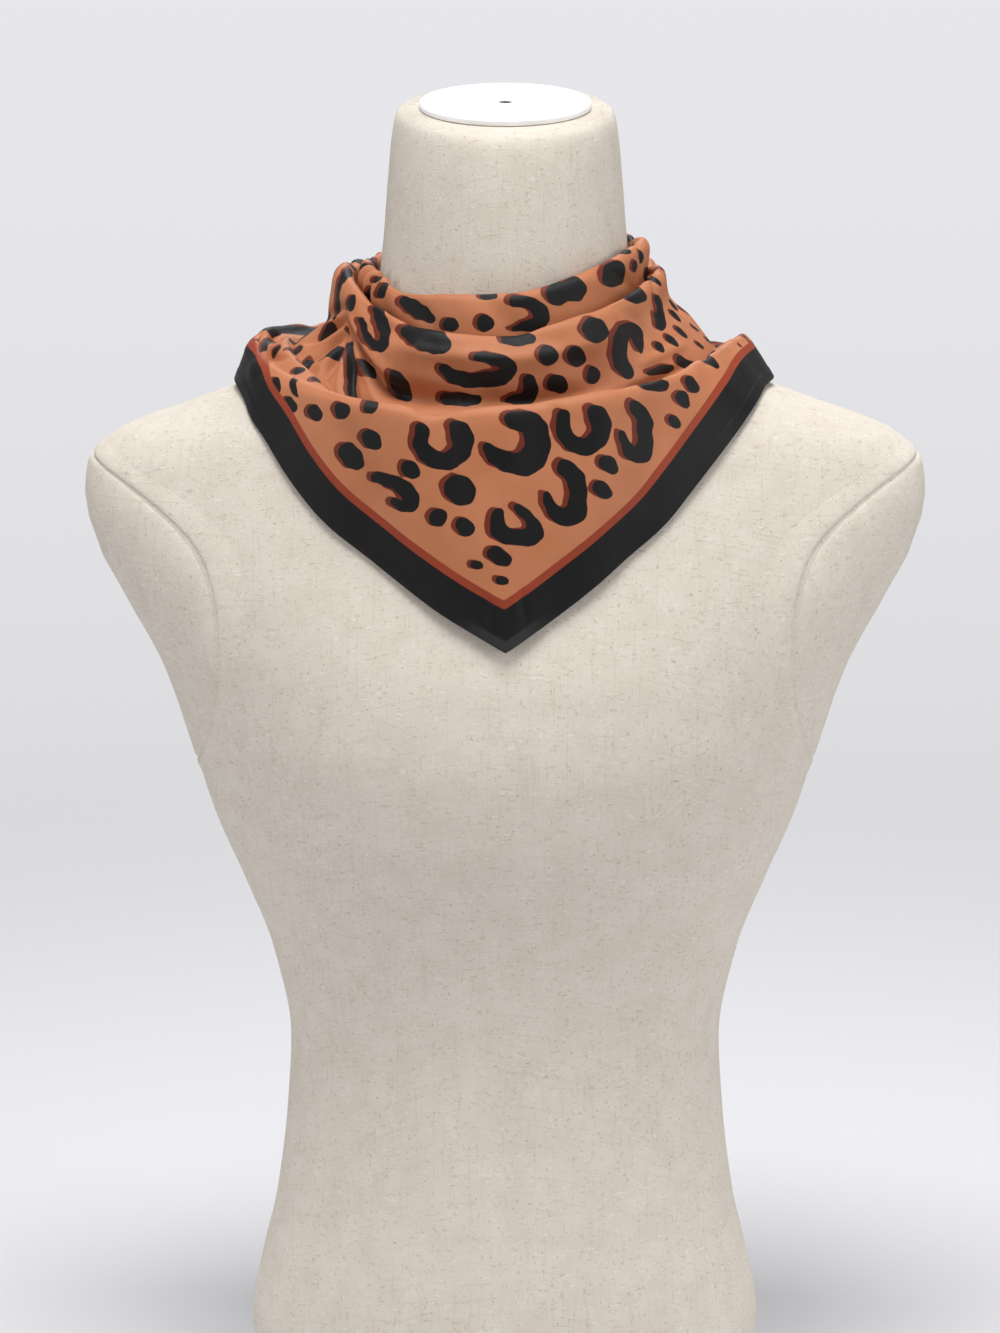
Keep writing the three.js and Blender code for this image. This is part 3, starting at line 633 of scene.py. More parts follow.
upper_face = [
    (-165, 70, 560.5), (-140, 73.2, 554), (-115, 79.5, 550), (-92, 84, 549.5), (-72, 82.5, 543),
    (-54, 83.5, 535), (-38, 86.5, 530), (-20, 88.6, 526), (0, 88.6, 525), (20, 89, 529),
    (40, 86, 537), (63, 80.5, 546), (90, 79, 549), (115, 77.8, 549), (140, 73, 554), (165, 70, 560.5),
]
lower_face = [
    (-165, 70.3, 557), (-140, 75, 545), (-115, 84, 537), (-92, 86.5, 537), (-72, 87.5, 531),
    (-54, 87.5, 521), (-38, 88.4, 511), (-20, 88, 509), (0, 87.8, 510), (20, 88.6, 513),
    (40, 88.8, 520), (63, 88, 532), (90, 88.5, 540), (115, 84.5, 536), (140, 75, 545), (165, 70.3, 557),
]
middle_tuck = [
    (-165, 71.4, 552, 1.6), (-140, 78.6, 536, 2.2), (-115, 93, 522.5, 3), (-92, 102, 525.5, 4),
    (-75, 101.5, 520, 4.2), (-60, 100, 512.5, 3.6), (-45, 99.5, 500, 2.6), (-30, 97.4, 493, 2),
    (0, 93.4, 492, 1.8), (20, 94.6, 497, 1.8), (40, 96.2, 504.5, 2), (56, 97, 512.5, 2.2),
    (72, 99.5, 519.5, 2.4), (90, 103.5, 522.5, 2.6), (110, 96, 520.5, 2.7), (140, 78.6, 533, 2.2),
    (165, 71.4, 552, 1.6),
]
front_crest = [
    (-165, 74.6, 561, 1.7), (-145, 82.5, 544, 2.2), (-128, 94, 536, 3), (-112, 107, 532.5, 4),
    (-97, 115, 532.5, 4.8), (-85, 119.5, 528, 5), (-73, 119, 521.5, 4.6), (-60, 118, 516.5, 4),
    (-40, 114, 510, 3.4), (-26, 109, 506.5, 3.2), (-20, 105.5, 503, 3.2), (-13, 102.4, 504.5, 3.2),
    (0, 99.8, 506, 3.2), (12, 100.4, 508.5, 3.2), (32, 103.6, 513, 3.2), (50, 104, 518.5, 3.2),
    (64, 106, 524, 3.2), (78, 109.5, 528.5, 3.4), (90, 114.5, 531, 3.6), (105, 110, 523.5, 3.2),
    (120, 99, 523, 2.8), (140, 86, 539, 2.2), (165, 74.6, 561, 1.7),
]
hem_left = [
    (-165, 78.2, 545), (-150, 84, 530), (-135, 96, 519.5), (-115, 115, 511.5), (-97, 126.5, 510.3),
    (-88, 129.8, 509.8), (-80, 129.8, 508.3), (-72.7, 130, 504), (-65.5, 131, 495.5),
    (-60, 129.8, 487.5), (-53, 126.3, 470), (-45.3, 121.1, 452.4), (-32.5, 112.3, 432.4),
    (-18.7, 108.7, 414.2), (0, 109.9, 393.8),
]
hem_right = [
    (0, 109.9, 393.8), (13.5, 107.4, 410.6), (29, 108.9, 432.4), (40.4, 114.1, 450),
    (47.5, 117.8, 465.3), (55.3, 123.3, 482.9), (60, 125.3, 491.4), (66.4, 126.4, 499.8),
    (78, 127, 508.5), (88, 129.6, 510.5), (97, 126, 511), (115, 115, 511.5), (135, 96, 519),
    (150, 84, 530), (165, 78.2, 545),
]


def hem_at(name, turn):
    left = eased(hem_left, path, name, turn)
    right = eased(hem_right, path, name, turn)
    return np.where(turn < 0, left, right)


def section_points(turn):
    """The points that the cloth's sections pass through, an array of turn, place, reach and height."""
    def over(rows, side):
        reach, height, bend = (eased(rows, path, name, turn) for name in path[1:])
        drop = side * BEND_DROP * bend
        return [(reach - bend, height - drop), (reach, height), (reach + bend, height - drop)]

    def face(rows):
        return [tuple(eased(rows, path, name, turn) for name in path[1:3])]

    reach, height, bend = (eased(neck_crest, path, name, turn) for name in path[1:])
    edge_height = height - ROLL_DEPTH
    edge_reach = np.maximum(reach - ROLL_EDGE * bend, form_reach(turn, edge_height) + CLEAR)
    points = [(edge_reach, edge_height), *over(neck_crest, 1), *over(neck_tuck, -1),
              *over(middle_crest, 1), *face(upper_face), *face(lower_face),
              *over(middle_tuck, -1), *over(front_crest, 1)]
    reach, height, bend = (eased(front_crest, path, name, turn) for name in path[1:])
    top = height - BEND_DROP * bend
    hem = hem_at("height", turn)
    eased_turn = np.sqrt(turn ** 2 + POINT_ROUND ** 2) * np.where(turn < 0, -1, 1)
    long = np.maximum(top - hem_at("height", eased_turn), 1)
    start = reach + bend
    for share in FALL_STOPS:
        fall = top + (hem - top) * share
        down = (top - fall) / long
        swell = FALL_SWELL * np.minimum(long / FALL_LONG, 1) * down * (1 - down)
        points.append((start + (hem_at("reach", turn) - start) * down + swell, fall))
    return np.stack([np.stack(point, axis=-1) for point in points], axis=1)


def cloth_surface(turn, place):
    """The folded cloth's middle surface, an array of turn, place and x, y and z in mm."""
    points = section_points(turn)
    gaps = np.sqrt(np.linalg.norm(np.diff(points, axis=1), axis=-1))[..., None]
    rise = np.diff(points, axis=1) / gaps
    slope = np.concatenate([
        rise[:, :1],
        (rise[:, :-1] * gaps[:, 1:] + rise[:, 1:] * gaps[:, :-1]) / (gaps[:, :-1] + gaps[:, 1:]),
        rise[:, -1:],
    ], axis=1)
    i = np.clip(place.astype(int), 0, points.shape[1] - 2)
    t = (place - i)[None, :, None]
    s = 1 - t
    at = ((1 + 2 * t) * s * s * points[:, i] + t * s * s * gaps[:, i] * slope[:, i]
          + t * t * (3 - 2 * t) * points[:, i + 1] - t * t * s * gaps[:, i] * slope[:, i + 1])
    return around(turn[:, None], at[..., 0], at[..., 1])


def steps_between(spans):
    """Values from the first span's start to the last one's end, each span in equal steps."""
    parts = [np.linspace(low, high, count, endpoint=False) for low, high, count in spans]
    return np.concatenate([*parts, [spans[-1][1]]])


SCARF_END = 170
NECK_SEAM = 5
MIDDLE_SEAM = 13
HEM_PLACE = 21
turn_line = steps_between([(-SCARF_END, -96, 52), (-96, 0, 160), (0, 96, 160), (96, SCARF_END, 52)])
place_line = steps_between([
    (0, 1, 7), (1, 3, 9), (3, 4, 20), (4, 5, 4), (5, 6, 4), (6, 7, 8), (7, 9, 10), (9, 10, 12),
    (10, 11, 12), (11, 12, 14), (12, 13, 4), (13, 14, 4), (14, 15, 8), (15, 17, 10), (17, 18, 18),
    (18, 19, 19), (19, 20, 19), (20, 20.85, 17), (20.85, 21, 5),
])
smooth = cloth_surface(turn_line, place_line)


def normals_of(points):
    """Unit vectors out of a grid of cloth, away from the neck on the falls' outer faces."""
    normal = np.cross(np.gradient(points, axis=1), np.gradient(points, axis=0))
    return normal / np.maximum(np.linalg.norm(normal, axis=-1, keepdims=True), NO_LENGTH)


def distance_to_run(points, run, radii=None):
    """From points to a run of straight strokes, less the stroke's radius, and the place along it."""
    nearest = np.full(points.shape[:-1], np.inf)
    share = np.zeros(points.shape[:-1])
    count = max(len(run) - 1, 1)
    for k in range(count):
        start = run[k]
        end = run[min(k + 1, len(run) - 1)]
        stroke = end - start
        length = max(float(stroke @ stroke), NO_LENGTH)
        t = np.clip((points - start) @ stroke / length, 0, 1)
        gap = np.linalg.norm(points - start - t[..., None] * stroke, axis=-1)
        if radii is not None:
            gap = gap - (radii[k] + (radii[min(k + 1, len(radii) - 1)] - radii[k]) * t)
        closer = gap < nearest
        nearest = np.where(closer, gap, nearest)
        share = np.where(closer, (k + t) / count, share)
    return nearest, share


# Creases and soft rolls, which the cloth takes where it is gathered. Each row runs from one turn and
# place of the cloth to another, with its half width and its rise in mm. One that sinks in has a rise
# below nought.
crease_rows = [
    (-64, 9.8, -26, 11.1, 3.0, 2.4),
    (-65, 10.0, -34, 11.2, 2.4, -4.6),
    (-62, 10.2, -38, 11.6, 2.0, 1.7),
    (-64, 10.2, -44, 12.2, 2.4, -4.4),
    (-63, 10.4, -51, 12.5, 2.0, 1.4),
    (-65, 10.3, -59, 12.7, 2.5, -4.0),
    (-65, 10.5, -65, 12.5, 2.2, 1.4),
    (-65, 10.2, -72, 12.5, 2.5, -3.8),
    (-66, 10.2, -77, 12.0, 2.2, 1.6),
    (-66, 10.0, -85, 12.0, 2.7, -3.6),
    (-68, 9.9, -88, 11.5, 2.2, 1.5),
    (-68, 9.6, -94, 11.2, 2.8, -2.2),
    (-60, 8.4, -30, 9.7, 4.5, -1.9),
    (-56, 7.6, -34, 9.0, 3.2, 1.2),
    (-28, 9.4, 2, 11.4, 8, -1.8),
    (8, 9.0, 34, 11.2, 7, -1.6),
    (-12, 11.0, 30, 12.6, 5, 1.2),
    (36, 8.6, 60, 11.6, 6, -2.0),
    (-50, 11.8, -8, 12.0, 4.2, -3.0),
    (-26, 12.0, 28, 12.0, 4.2, -4.6),
    (10, 12.0, 58, 11.9, 3.8, -2.6),
    (-36, 9.7, 0, 9.9, 5.5, 2.6),
    (-12, 9.9, 38, 9.8, 5.5, 2.4),
    (-42, 11.0, 0, 11.2, 5.0, -3.9),
    (-10, 11.2, 34, 11.2, 5.0, -3.4),
    (-46, 10.9, -14, 11.2, 6.0, -2.9),
    (38, 11.5, 66, 11.9, 1.9, -2.2),
    (44, 11.0, 70, 11.4, 2.6, 1.5),
    (-1, 19.6, -4, 20.9, 1.8, 0.7),
    (3, 19.9, 5, 20.8, 1.6, -0.6),
    (-7, 20.2, 2, 20.5, 1.8, -0.6),
    (68, 7.4, 60, 10.6, 3.6, -2.2),
    (78, 7.2, 84, 11.4, 4.2, -2.4),
    (72, 8.2, 74, 11.0, 3.0, 1.3),
    (88, 8.0, 98, 11.8, 4.0, -1.8),
    (-93, 16.3, -81, 14.7, 2.5, -3.8),
    (-86, 15.4, -73, 14.2, 2.3, -3.0),
    (-77, 15.8, -85, 15.1, 1.9, -2.2),
    (-97, 15.2, -88, 14.2, 3.4, -2.6),
    (-76, 16.6, -70, 18.4, 5.0, 1.2),
    (-20, 15.0, -9, 19.2, 9.0, -2.0),
    (-13, 17.0, -3, 20.4, 6.0, 0.9),
    (-48, 16.6, -27, 19.8, 9.0, -1.5),
    (-38, 17.2, -20, 20.4, 6.0, 0.9),
    (12, 16.4, 6, 20.2, 10.0, -1.4),
    (30, 16.4, 19, 20.3, 9.0, 1.3),
    (46, 16.2, 34, 20.2, 8.0, -1.6),
    (60, 15.0, 50, 19.0, 5.0, 1.1),
    (66, 13.6, 60, 17.2, 3.4, -1.6),
    (70, 13.4, 82, 16.0, 3.2, 2.0),
    (74, 16.2, 66, 19.8, 5.0, -1.2),
    (-52, 1.4, -56, 4.4, 2.0, -2.2),
    (-57, 1.2, -62, 4.4, 2.3, 2.6),
    (-61, 1.0, -66, 4.4, 1.7, -3.4),
    (-65, 1.0, -70, 4.2, 2.1, 2.8),
    (-69, 1.0, -74, 4.2, 1.8, -3.4),
    (-74, 1.0, -79, 4.2, 2.3, 2.4),
    (-79, 1.0, -84, 4.2, 2.0, -2.8),
    (-50, 2.6, -20, 3.8, 4.5, -1.2),
    (-16, 2.6, 14, 4.0, 5.5, -1.3),
    (8, 2.2, 40, 3.2, 4.0, 1.0),
    (36, 2.8, 66, 3.9, 3.4, -1.4),
    (74, 1.0, 70, 4.2, 3.2, -1.6),
    (86, 1.0, 82, 4.2, 3.0, 1.4),
    (100, 7.2, 104, 11.5, 4.2, -3.2),
    (109, 7.6, 112, 12.0, 3.6, 1.6),
    (118, 7.2, 121, 12.4, 3.6, -3.0),
    (126, 8.2, 125, 12.2, 3.0, 1.3),
    (132, 8.0, 130, 12.6, 3.0, -2.6),
    (147, 9.4, 143, 15.8, 2.8, -2.2),
    (94, 9.4, 116, 10.8, 3.2, -1.6),
    (-102, 7.2, -104, 12.0, 4.2, -3.2),
    (-109, 8.0, -113, 12.2, 3.4, 1.6),
    (-116, 7.6, -120, 12.6, 3.8, -3.0),
    (-125, 8.0, -127, 12.0, 3.0, 1.3),
    (-130, 8.0, -133, 15.4, 3.2, -2.6),
    (-146, 9.4, -144, 15.8, 2.8, -2.2),
    (-98, 9.0, -122, 10.6, 3.2, -1.6),
    (104, 1.0, 107, 4.2, 3.0, -2.2),
    (114, 1.0, 112, 4.2, 2.6, 1.3),
    (124, 1.0, 120, 4.2, 3.0, -2.0),
    (142, 1.0, 139, 4.2, 2.6, -1.6),
    (-100, 1.0, -97, 4.2, 3.0, -2.2),
    (-110, 1.0, -112, 4.2, 2.6, 1.4),
    (-120, 1.0, -123, 4.2, 3.0, -2.0),
    (-138, 1.0, -141, 4.2, 2.6, -1.6),
    (-150, 14.6, -128, 19.8, 3.8, -2.4),
    (-138, 15.0, -121, 19.6, 3.4, 1.3),
    (-116, 15.4, -110, 20.2, 4.4, -2.2),
    (150, 14.6, 130, 19.8, 3.8, -2.4),
    (138, 15.2, 122, 19.4, 3.4, 1.3),
    (116, 15.4, 112, 20.2, 4.4, -2.2),
]
CREASE_STOPS = np.linspace(0, 1, 14)
CREASE_FADE = (0.8, 0.6)
CREASE_TURN_MARGIN = 14
CREASE_PLACE_MARGIN = 0.9
outward = normals_of(smooth)
rise = np.zeros(smooth.shape[:2])


def between(line, start, end, margin):
    """The indices of a line's values from start to end, whichever is lower, and a margin more."""
    low, high = min(start, end) - margin, max(start, end) + margin
    return np.flatnonzero((line > low) & (line < high)), low, high


for from_turn, from_place, to_turn, to_place, half_width, height in crease_rows:
    at_turns = from_turn + (to_turn - from_turn) * CREASE_STOPS
    at_places = from_place + (to_place - from_place) * CREASE_STOPS
    run = [cloth_surface(np.array([a]), np.array([b]))[0, 0] for a, b in zip(at_turns, at_places)]
    columns = between(turn_line, from_turn, to_turn, CREASE_TURN_MARGIN)[0]
    rows, low_place, high_place = between(place_line, from_place, to_place, CREASE_PLACE_MARGIN)
    window = np.ix_(columns, rows)
    gap, share = distance_to_run(smooth[window], np.array(run))
    inside_ends = np.minimum(place_line[rows] - low_place, high_place - place_line[rows])
    ends = np.clip(inside_ends / CREASE_PLACE_MARGIN, 0, 1)
    fade = np.sin(math.pi * np.clip(share, 0.01, 0.99) ** CREASE_FADE[0]) ** CREASE_FADE[1]
    rise[window] += height * np.exp(-(gap / half_width) ** 2) * fade * ends

# Uneven waves along the hem and the falls' edges, as count round the neck, start and size, and the
# slight curl of the front point. Where the cloth would touch the form, it is held off it.
HEM_WAVES = [(2.3, 0.4, 0.55), (5.1, 1.9, 0.5), (9.7, 4.2, 0.35), (17.3, 0.8, 0.22)]
HEM_WAVE_FROM = 17.5
HEM_WAVE_SHARE = 0.9
EDGE_WAVES = [(2, 1.6, 0.35), (8, 1.8, 0.6), (16, 1.6, 0.6)]
TIP_CURL = 1.6
TIP_ROUND = 13
OFF_FORM = 1.3
angle = np.radians(turn_line)


def waves(quicker, later):
    return sum(size * np.sin(quicker * count * angle + later * start) for count, start, size in HEM_WAVES)


near_hem = np.clip((place_line - HEM_WAVE_FROM) / (HEM_PLACE - HEM_WAVE_FROM), 0, 1) ** 1.6
rise += HEM_WAVE_SHARE * waves(1, 1)[:, None] * near_hem
for edge_place, spread, size in EDGE_WAVES:
    rise += size * waves(1.7, 2)[:, None] * np.exp(-((place_line - edge_place) / spread) ** 2)
cloth_points = smooth + outward * rise[..., None]
tip = cloth_points[len(turn_line) // 2, -1]
near_tip = np.exp(-(np.linalg.norm(cloth_points - tip, axis=-1) / TIP_ROUND) ** 2)
cloth_points = cloth_points + outward * (TIP_CURL * near_tip)[..., None]
clear_of_form = form_reach(turn_line[:, None], np.clip(cloth_points[..., 2], 0, FORM_TOP)) + OFF_FORM
now = np.hypot(cloth_points[..., 0], cloth_points[..., 1])
cloth_points[..., :2] *= np.clip(clear_of_form / now, 1, 1.2)[..., None]
cloth_normals = normals_of(cloth_points)

# Print: black spots and open rings on tan, each with a rust edge to its upper left, and inside the
# hem a rust line and a wide black border. A kind of mark is a few strokes, each row of them a point
# in half widths and half heights of the mark, and the stroke's thickness there.
strokes = {
    "ring": [(-1.13, 0.86, 0.8), (-1.16, -0.03, 0.9), (-0.66, -0.8, 1.03), (0.18, -0.98, 1.03),
             (0.89, -0.3, 1.1), (0.86, 0.57, 1.27), (0.63, 1.0, 0.9)],
    "heavy": [(-0.18, 1.07, 0.82), (0.63, 0.85, 1.12), (0.88, -0.03, 1.21), (0.52, -0.76, 1.21),
              (-0.19, -0.88, 1.0), (-0.98, -0.54, 0.82), (-1.3, -0.15, 0.42)],
    "jay": [(-0.12, 1.13, 0.88), (0.67, 0.57, 1.03), (0.75, -0.3, 1.03), (0.6, -0.92, 1.15),
            (-0.45, -0.97, 0.9), (-1.1, -0.42, 0.6), (-1.3, -0.07, 0.4)],
    "comma": [(-1.16, 0.15, 0.6), (-0.75, -0.54, 0.9), (0.04, -0.8, 0.85), (0.89, -0.54, 0.97),
              (1.1, 0.24, 0.88), (0.6, 0.77, 0.7), (0.03, 0.98, 0.52)],
    "curl": [(-0.98, 0.67, 0.79), (-1.01, -0.37, 1.03), (-0.15, -0.89, 1.03), (0.85, -0.64, 1.15),
             (0.63, 0.37, 0.73), (0.03, 1.1, 0.6)],
    "hook": [(-1.16, 1.07, 0.67), (-0.3, 0.75, 0.9), (0.57, 0.18, 1.09), (0.95, -0.75, 1.03),
             (0.37, -0.92, 0.79), (-0.07, -0.67, 0.55)],
    "ell": [(0.75, 1.1, 0.9), (0.8, 0.1, 1.1), (0.5, -0.8, 1.1), (-0.4, -0.95, 0.85), (-1.2, -1.0, 0.5)],
    "cee": [(1.2, -0.07, 0.3), (0.92, 0.64, 0.85), (0.4, 1.04, 0.97), (-0.46, 0.8, 0.97),
            (-0.86, 0.07, 0.97), (-0.72, -0.69, 0.97), (-0.15, -1.1, 0.97)],
    "vee": [(-1.2, 0.64, 0.5), (-0.52, -0.54, 0.73), (0.6, -1.19, 0.76), (1.04, -0.54, 0.9),
            (0.75, 0.43, 1.06), (0.22, 1.19, 0.76)],
    "arch": [(-1.0, 0.97, 0.85), (0.0, 0.89, 1.0), (0.86, 0.15, 1.27), (0.67, -0.75, 1.15),
             (-0.37, -1.13, 0.73), (-1.16, -1.3, 0.3)],
    "bean": [(-1.0, -0.05, 0.95), (0.0, -0.12, 0.8), (1.0, 0.08, 1.0)],
    "leaf": [(-1.0, 0.1, 0.5), (-0.3, 0.0, 0.95), (0.5, -0.05, 1.0), (1.0, 0.05, 0.8)],
    "spot": [(-1.0, 0.0, 0.94), (0.0, 0.04, 1.0), (1.0, -0.03, 0.74)],
}

# What shows from the front was charted. Each row has the kind, the middle's place and the
# mark's width, height and stroke in the photograph's pixels, and its tilt in degrees.
chart_rows = [
    ("ring", 445, 444, 58, 51, 18, 0), ("heavy", 518, 444, 68, 66, 22, 0),
    ("ring", 585, 430, 53, 51, 17, 4), ("jay", 636, 432, 39, 60, 16, 0),
    ("jay", 565, 492, 49, 64, 18, 0), ("curl", 518, 524, 55, 46, 16, 0),
    ("hook", 395, 493, 50, 44, 15, 0), ("spot", 461, 491, 39, 29, 29, -38),
    ("spot", 439, 519, 21, 18, 18, -30), ("spot", 466, 527, 24, 17, 17, -42),
    ("spot", 500, 557, 30, 16, 16, -32), ("spot", 477, 564, 16, 9, 9, -15),
    ("spot", 504, 580, 16, 9, 9, -20), ("spot", 412, 470, 24, 17, 17, -42),
    ("spot", 352, 458, 35, 22, 22, -52), ("spot", 373, 441, 26, 18, 18, -50),
    ("spot", 371, 407, 17, 15, 15, -25), ("spot", 343, 412, 20, 16, 16, -60),
    ("spot", 316, 413, 20, 14, 14, -62), ("spot", 291, 405, 20, 11, 11, -58),
    ("spot", 276, 386, 20, 10, 10, -72), ("spot", 296, 379, 15, 8, 8, -10),
    ("spot", 610, 464, 25, 16, 16, -38), ("spot", 603, 491, 24, 16, 16, -36),
    ("spot", 674, 423, 16, 12, 12, -50), ("spot", 684, 400, 21, 13, 13, -54),
    ("spot", 693, 385, 21, 12, 12, -52), ("leaf", 653, 384, 38, 17, 15, -2),
    ("spot", 709, 360, 26, 14, 14, -34), ("bean", 686, 364, 30, 13, 12, -25),
    ("leaf", 661, 371, 32, 8, 8, 18),
    ("leaf", 425, 337, 64, 28, 26, -24), ("comma", 477, 369, 74, 42, 17, 0),
    ("spot", 520, 338, 37, 18, 16, -2), ("spot", 549, 355, 22, 19, 19, -35),
    ("spot", 577, 357, 22, 19, 19, -60), ("spot", 593, 377, 20, 14, 14, -85),
    ("spot", 596, 330, 31, 25, 25, -40), ("cee", 629, 351, 37, 56, 16, 0),
    ("jay", 658, 313, 17, 36, 9, 0), ("spot", 635, 294, 28, 20, 20, -20),
    ("ell", 521, 391, 36, 32, 14, 0), ("bean", 557, 384, 22, 19, 18, -15),
    ("spot", 461, 401, 44, 14, 14, -4), ("leaf", 400, 386, 42, 17, 17, -58),
    ("spot", 659, 347, 13, 9, 9, -60), ("vee", 374, 330, 34, 46, 12, 0),
    ("spot", 352, 302, 20, 11, 11, 86), ("spot", 338, 297, 46, 9, 9, 88),
    ("spot", 350, 273, 13, 8, 8, 0),
    ("leaf", 419, 312, 48, 15, 15, 144), ("spot", 452, 325, 19, 14, 14, -15),
    ("spot", 486, 325, 20, 17, 17, 20), ("spot", 489, 296, 20, 8, 8, 0),
    ("arch", 528, 314, 42, 37, 13, 0), ("bean", 565, 291, 42, 28, 25, 16),
    ("leaf", 612, 275, 37, 23, 22, 58), ("spot", 625, 252, 16, 7, 7, 20),
    ("spot", 635, 267, 14, 7, 7, 80), ("spot", 383, 290, 18, 9, 9, 70),
    ("spot", 377, 279, 13, 8, 8, 25), ("spot", 655, 280, 18, 9, 9, -35),
    ("spot", 295, 330, 38, 12, 12, 0), ("leaf", 329, 334, 34, 17, 17, 26),
    ("leaf", 335, 352, 33, 22, 22, 30), ("spot", 299, 350, 16, 10, 10, 25),
    ("spot", 299, 371, 15, 13, 13, 60), ("spot", 317, 381, 12, 7, 7, 10),
    ("spot", 351, 376, 25, 13, 13, 84), ("leaf", 367, 366, 36, 12, 12, -60),
    # This leaf is painted shade: a black mark along the dark line of the dent in the bib's left corner.
    ("leaf", 265, 345, 20, 7, 7, -65),
    ("spot", 676, 317, 17, 6, 6, -42), ("spot", 696, 327, 17, 6, 6, -25),
    ("spot", 681, 332, 18, 7, 7, -30), ("spot", 672, 340, 18, 8, 8, -38),
    ("spot", 711, 340, 16, 5, 5, -22), ("spot", 701, 346, 15, 6, 6, -22),
]
FLAT_LIMIT = 0.6
FLAT_SLACK = 5
LEAST_AHEAD = 0.05
RUST_ACROSS = 2.5
RUST_DOWN = 0.7
RUST_SMALLEST = 0.62
RUST_GROWS = 60
RUST_STEPS = (0.5, 1.0)
MOTIF_REACH = 0.75
SPARE_ROUND = 5
SPARE_DOWN = 8
NEAREST = (1.2, 2.2)
STROKE_STEPS = 4
NO_PRINT = 20.0


def unprinted(points):
    """The spots' and the rust edges' distances before any is printed."""
    return np.full(points.shape[:2], NO_PRINT), np.full(points.shape[:2], NO_PRINT)


flat_down = run_length(cloth_points, 1)
photo_x, photo_y, photo_depth = in_photo(cloth_points)
level = np.stack([np.cos(angle), np.sin(angle), np.zeros_like(angle)], axis=-1)
spot_gap, rust_gap = unprinted(cloth_points)
taken = []


def soft_stroke(points):
    """A smooth curve through a stroke's points, their thickness with them."""
    before = 2 * points[:1] - points[1:2]
    after = 2 * points[-1:] - points[-2:-1]
    padded = np.concatenate([before, points, after])
    t = np.arange(STROKE_STEPS)[:, None] / STROKE_STEPS
    spans = []
    for a, b, c, d in zip(padded, padded[1:], padded[2:], padded[3:]):
        spans.append(b + 0.5 * t * (c - a + t * (2 * a - 5 * b + 4 * c - d + t * (3 * b - a - 3 * c + d))))
    return np.concatenate([*spans, points[-1:]])


def add_motif(i, j, kind, wide, tall, stroke, tilt, across, up):
    """Prints one motif round the vertex at column i and row j, its sizes in mm along across and up."""
    middle = cloth_points[i, j]
    x, y, thick = soft_stroke(np.array(strokes[kind], float)).T
    x = x * max(wide / 2 - stroke / 2, 0.1)
    y = y * max(tall / 2 - stroke / 2, 0.1)
    cos_tilt, sin_tilt = math.cos(math.radians(tilt)), math.sin(math.radians(tilt))
    run = np.stack([x * cos_tilt - y * sin_tilt, x * sin_tilt + y * cos_tilt, np.zeros_like(x)], axis=-1)
    radii = thick * stroke / 2
    size = max(wide, tall)
    far_round = MOTIF_REACH * size / FLAT_LIMIT + SPARE_ROUND
    near_turn = math.degrees(far_round / np.hypot(middle[0], middle[1]))
    columns = np.flatnonzero(np.abs(turn_line - turn_line[i]) < near_turn)
    low, high = columns[0], columns[-1] + 1
    near = np.abs(flat_down[low:high] - flat_down[i, j]) < MOTIF_REACH * size + SPARE_DOWN
    rows = np.flatnonzero(near.any(axis=0))
    window = (slice(low, high), slice(rows[0], rows[-1] + 1))
    away = cloth_points[window] - middle
    off_flat = np.maximum(np.abs(away @ cloth_normals[i, j]) - FLAT_SLACK, 0)
    flat = np.stack([away @ across, away @ up, off_flat], axis=-1)
    rust_share = min(RUST_SMALLEST + size / RUST_GROWS, 1)
    shifts = [(spot_gap, 0), *((rust_gap, step * rust_share) for step in RUST_STEPS)]
    for gaps, share in shifts:
        gap = distance_to_run(flat + [share * RUST_ACROSS, -share * RUST_DOWN, 0], run, radii)[0]
        gap[~near[:, rows[0]:rows[-1] + 1]] = NO_PRINT
        gaps[window] = np.minimum(gaps[window], gap)
    taken.append((middle, size / 2))


def upward(i, j):
    """The way up along the cloth at a vertex, square to the level way round the neck."""
    up = np.cross(cloth_normals[i, j], level[i])
    return up if up[2] > 0 else -up


def as_seen(way, seen_way):
    """A direction that measures the cloth as the camera sees it, drawn out no more than the limit."""
    seen = way @ seen_way
    ahead = way @ view_ahead
    if seen > FLAT_LIMIT or abs(ahead) < LEAST_AHEAD:
        return seen_way
    return seen_way + (FLAT_LIMIT - seen) / ahead * view_ahead


for kind, at_x, at_y, wide, tall, stroke, tilt in chart_rows:
    off = np.hypot(photo_x - at_x, photo_y - at_y)
    cost = np.where(off < max(off.min() + NEAREST[0], NEAREST[1]), photo_depth + 2 * off, np.inf)
    i, j = np.unravel_index(np.argmin(cost), cost.shape)
    seen_across = as_seen(level[i], np.array([1.0, 0, 0]))
    seen_up = as_seen(upward(i, j), view_up)
    pixel = PHOTO_SCALE * photo_depth[i, j] / VIEW_DISTANCE
    add_motif(i, j, kind, wide * pixel, tall * pixel, stroke * pixel, tilt, seen_across, seen_up)

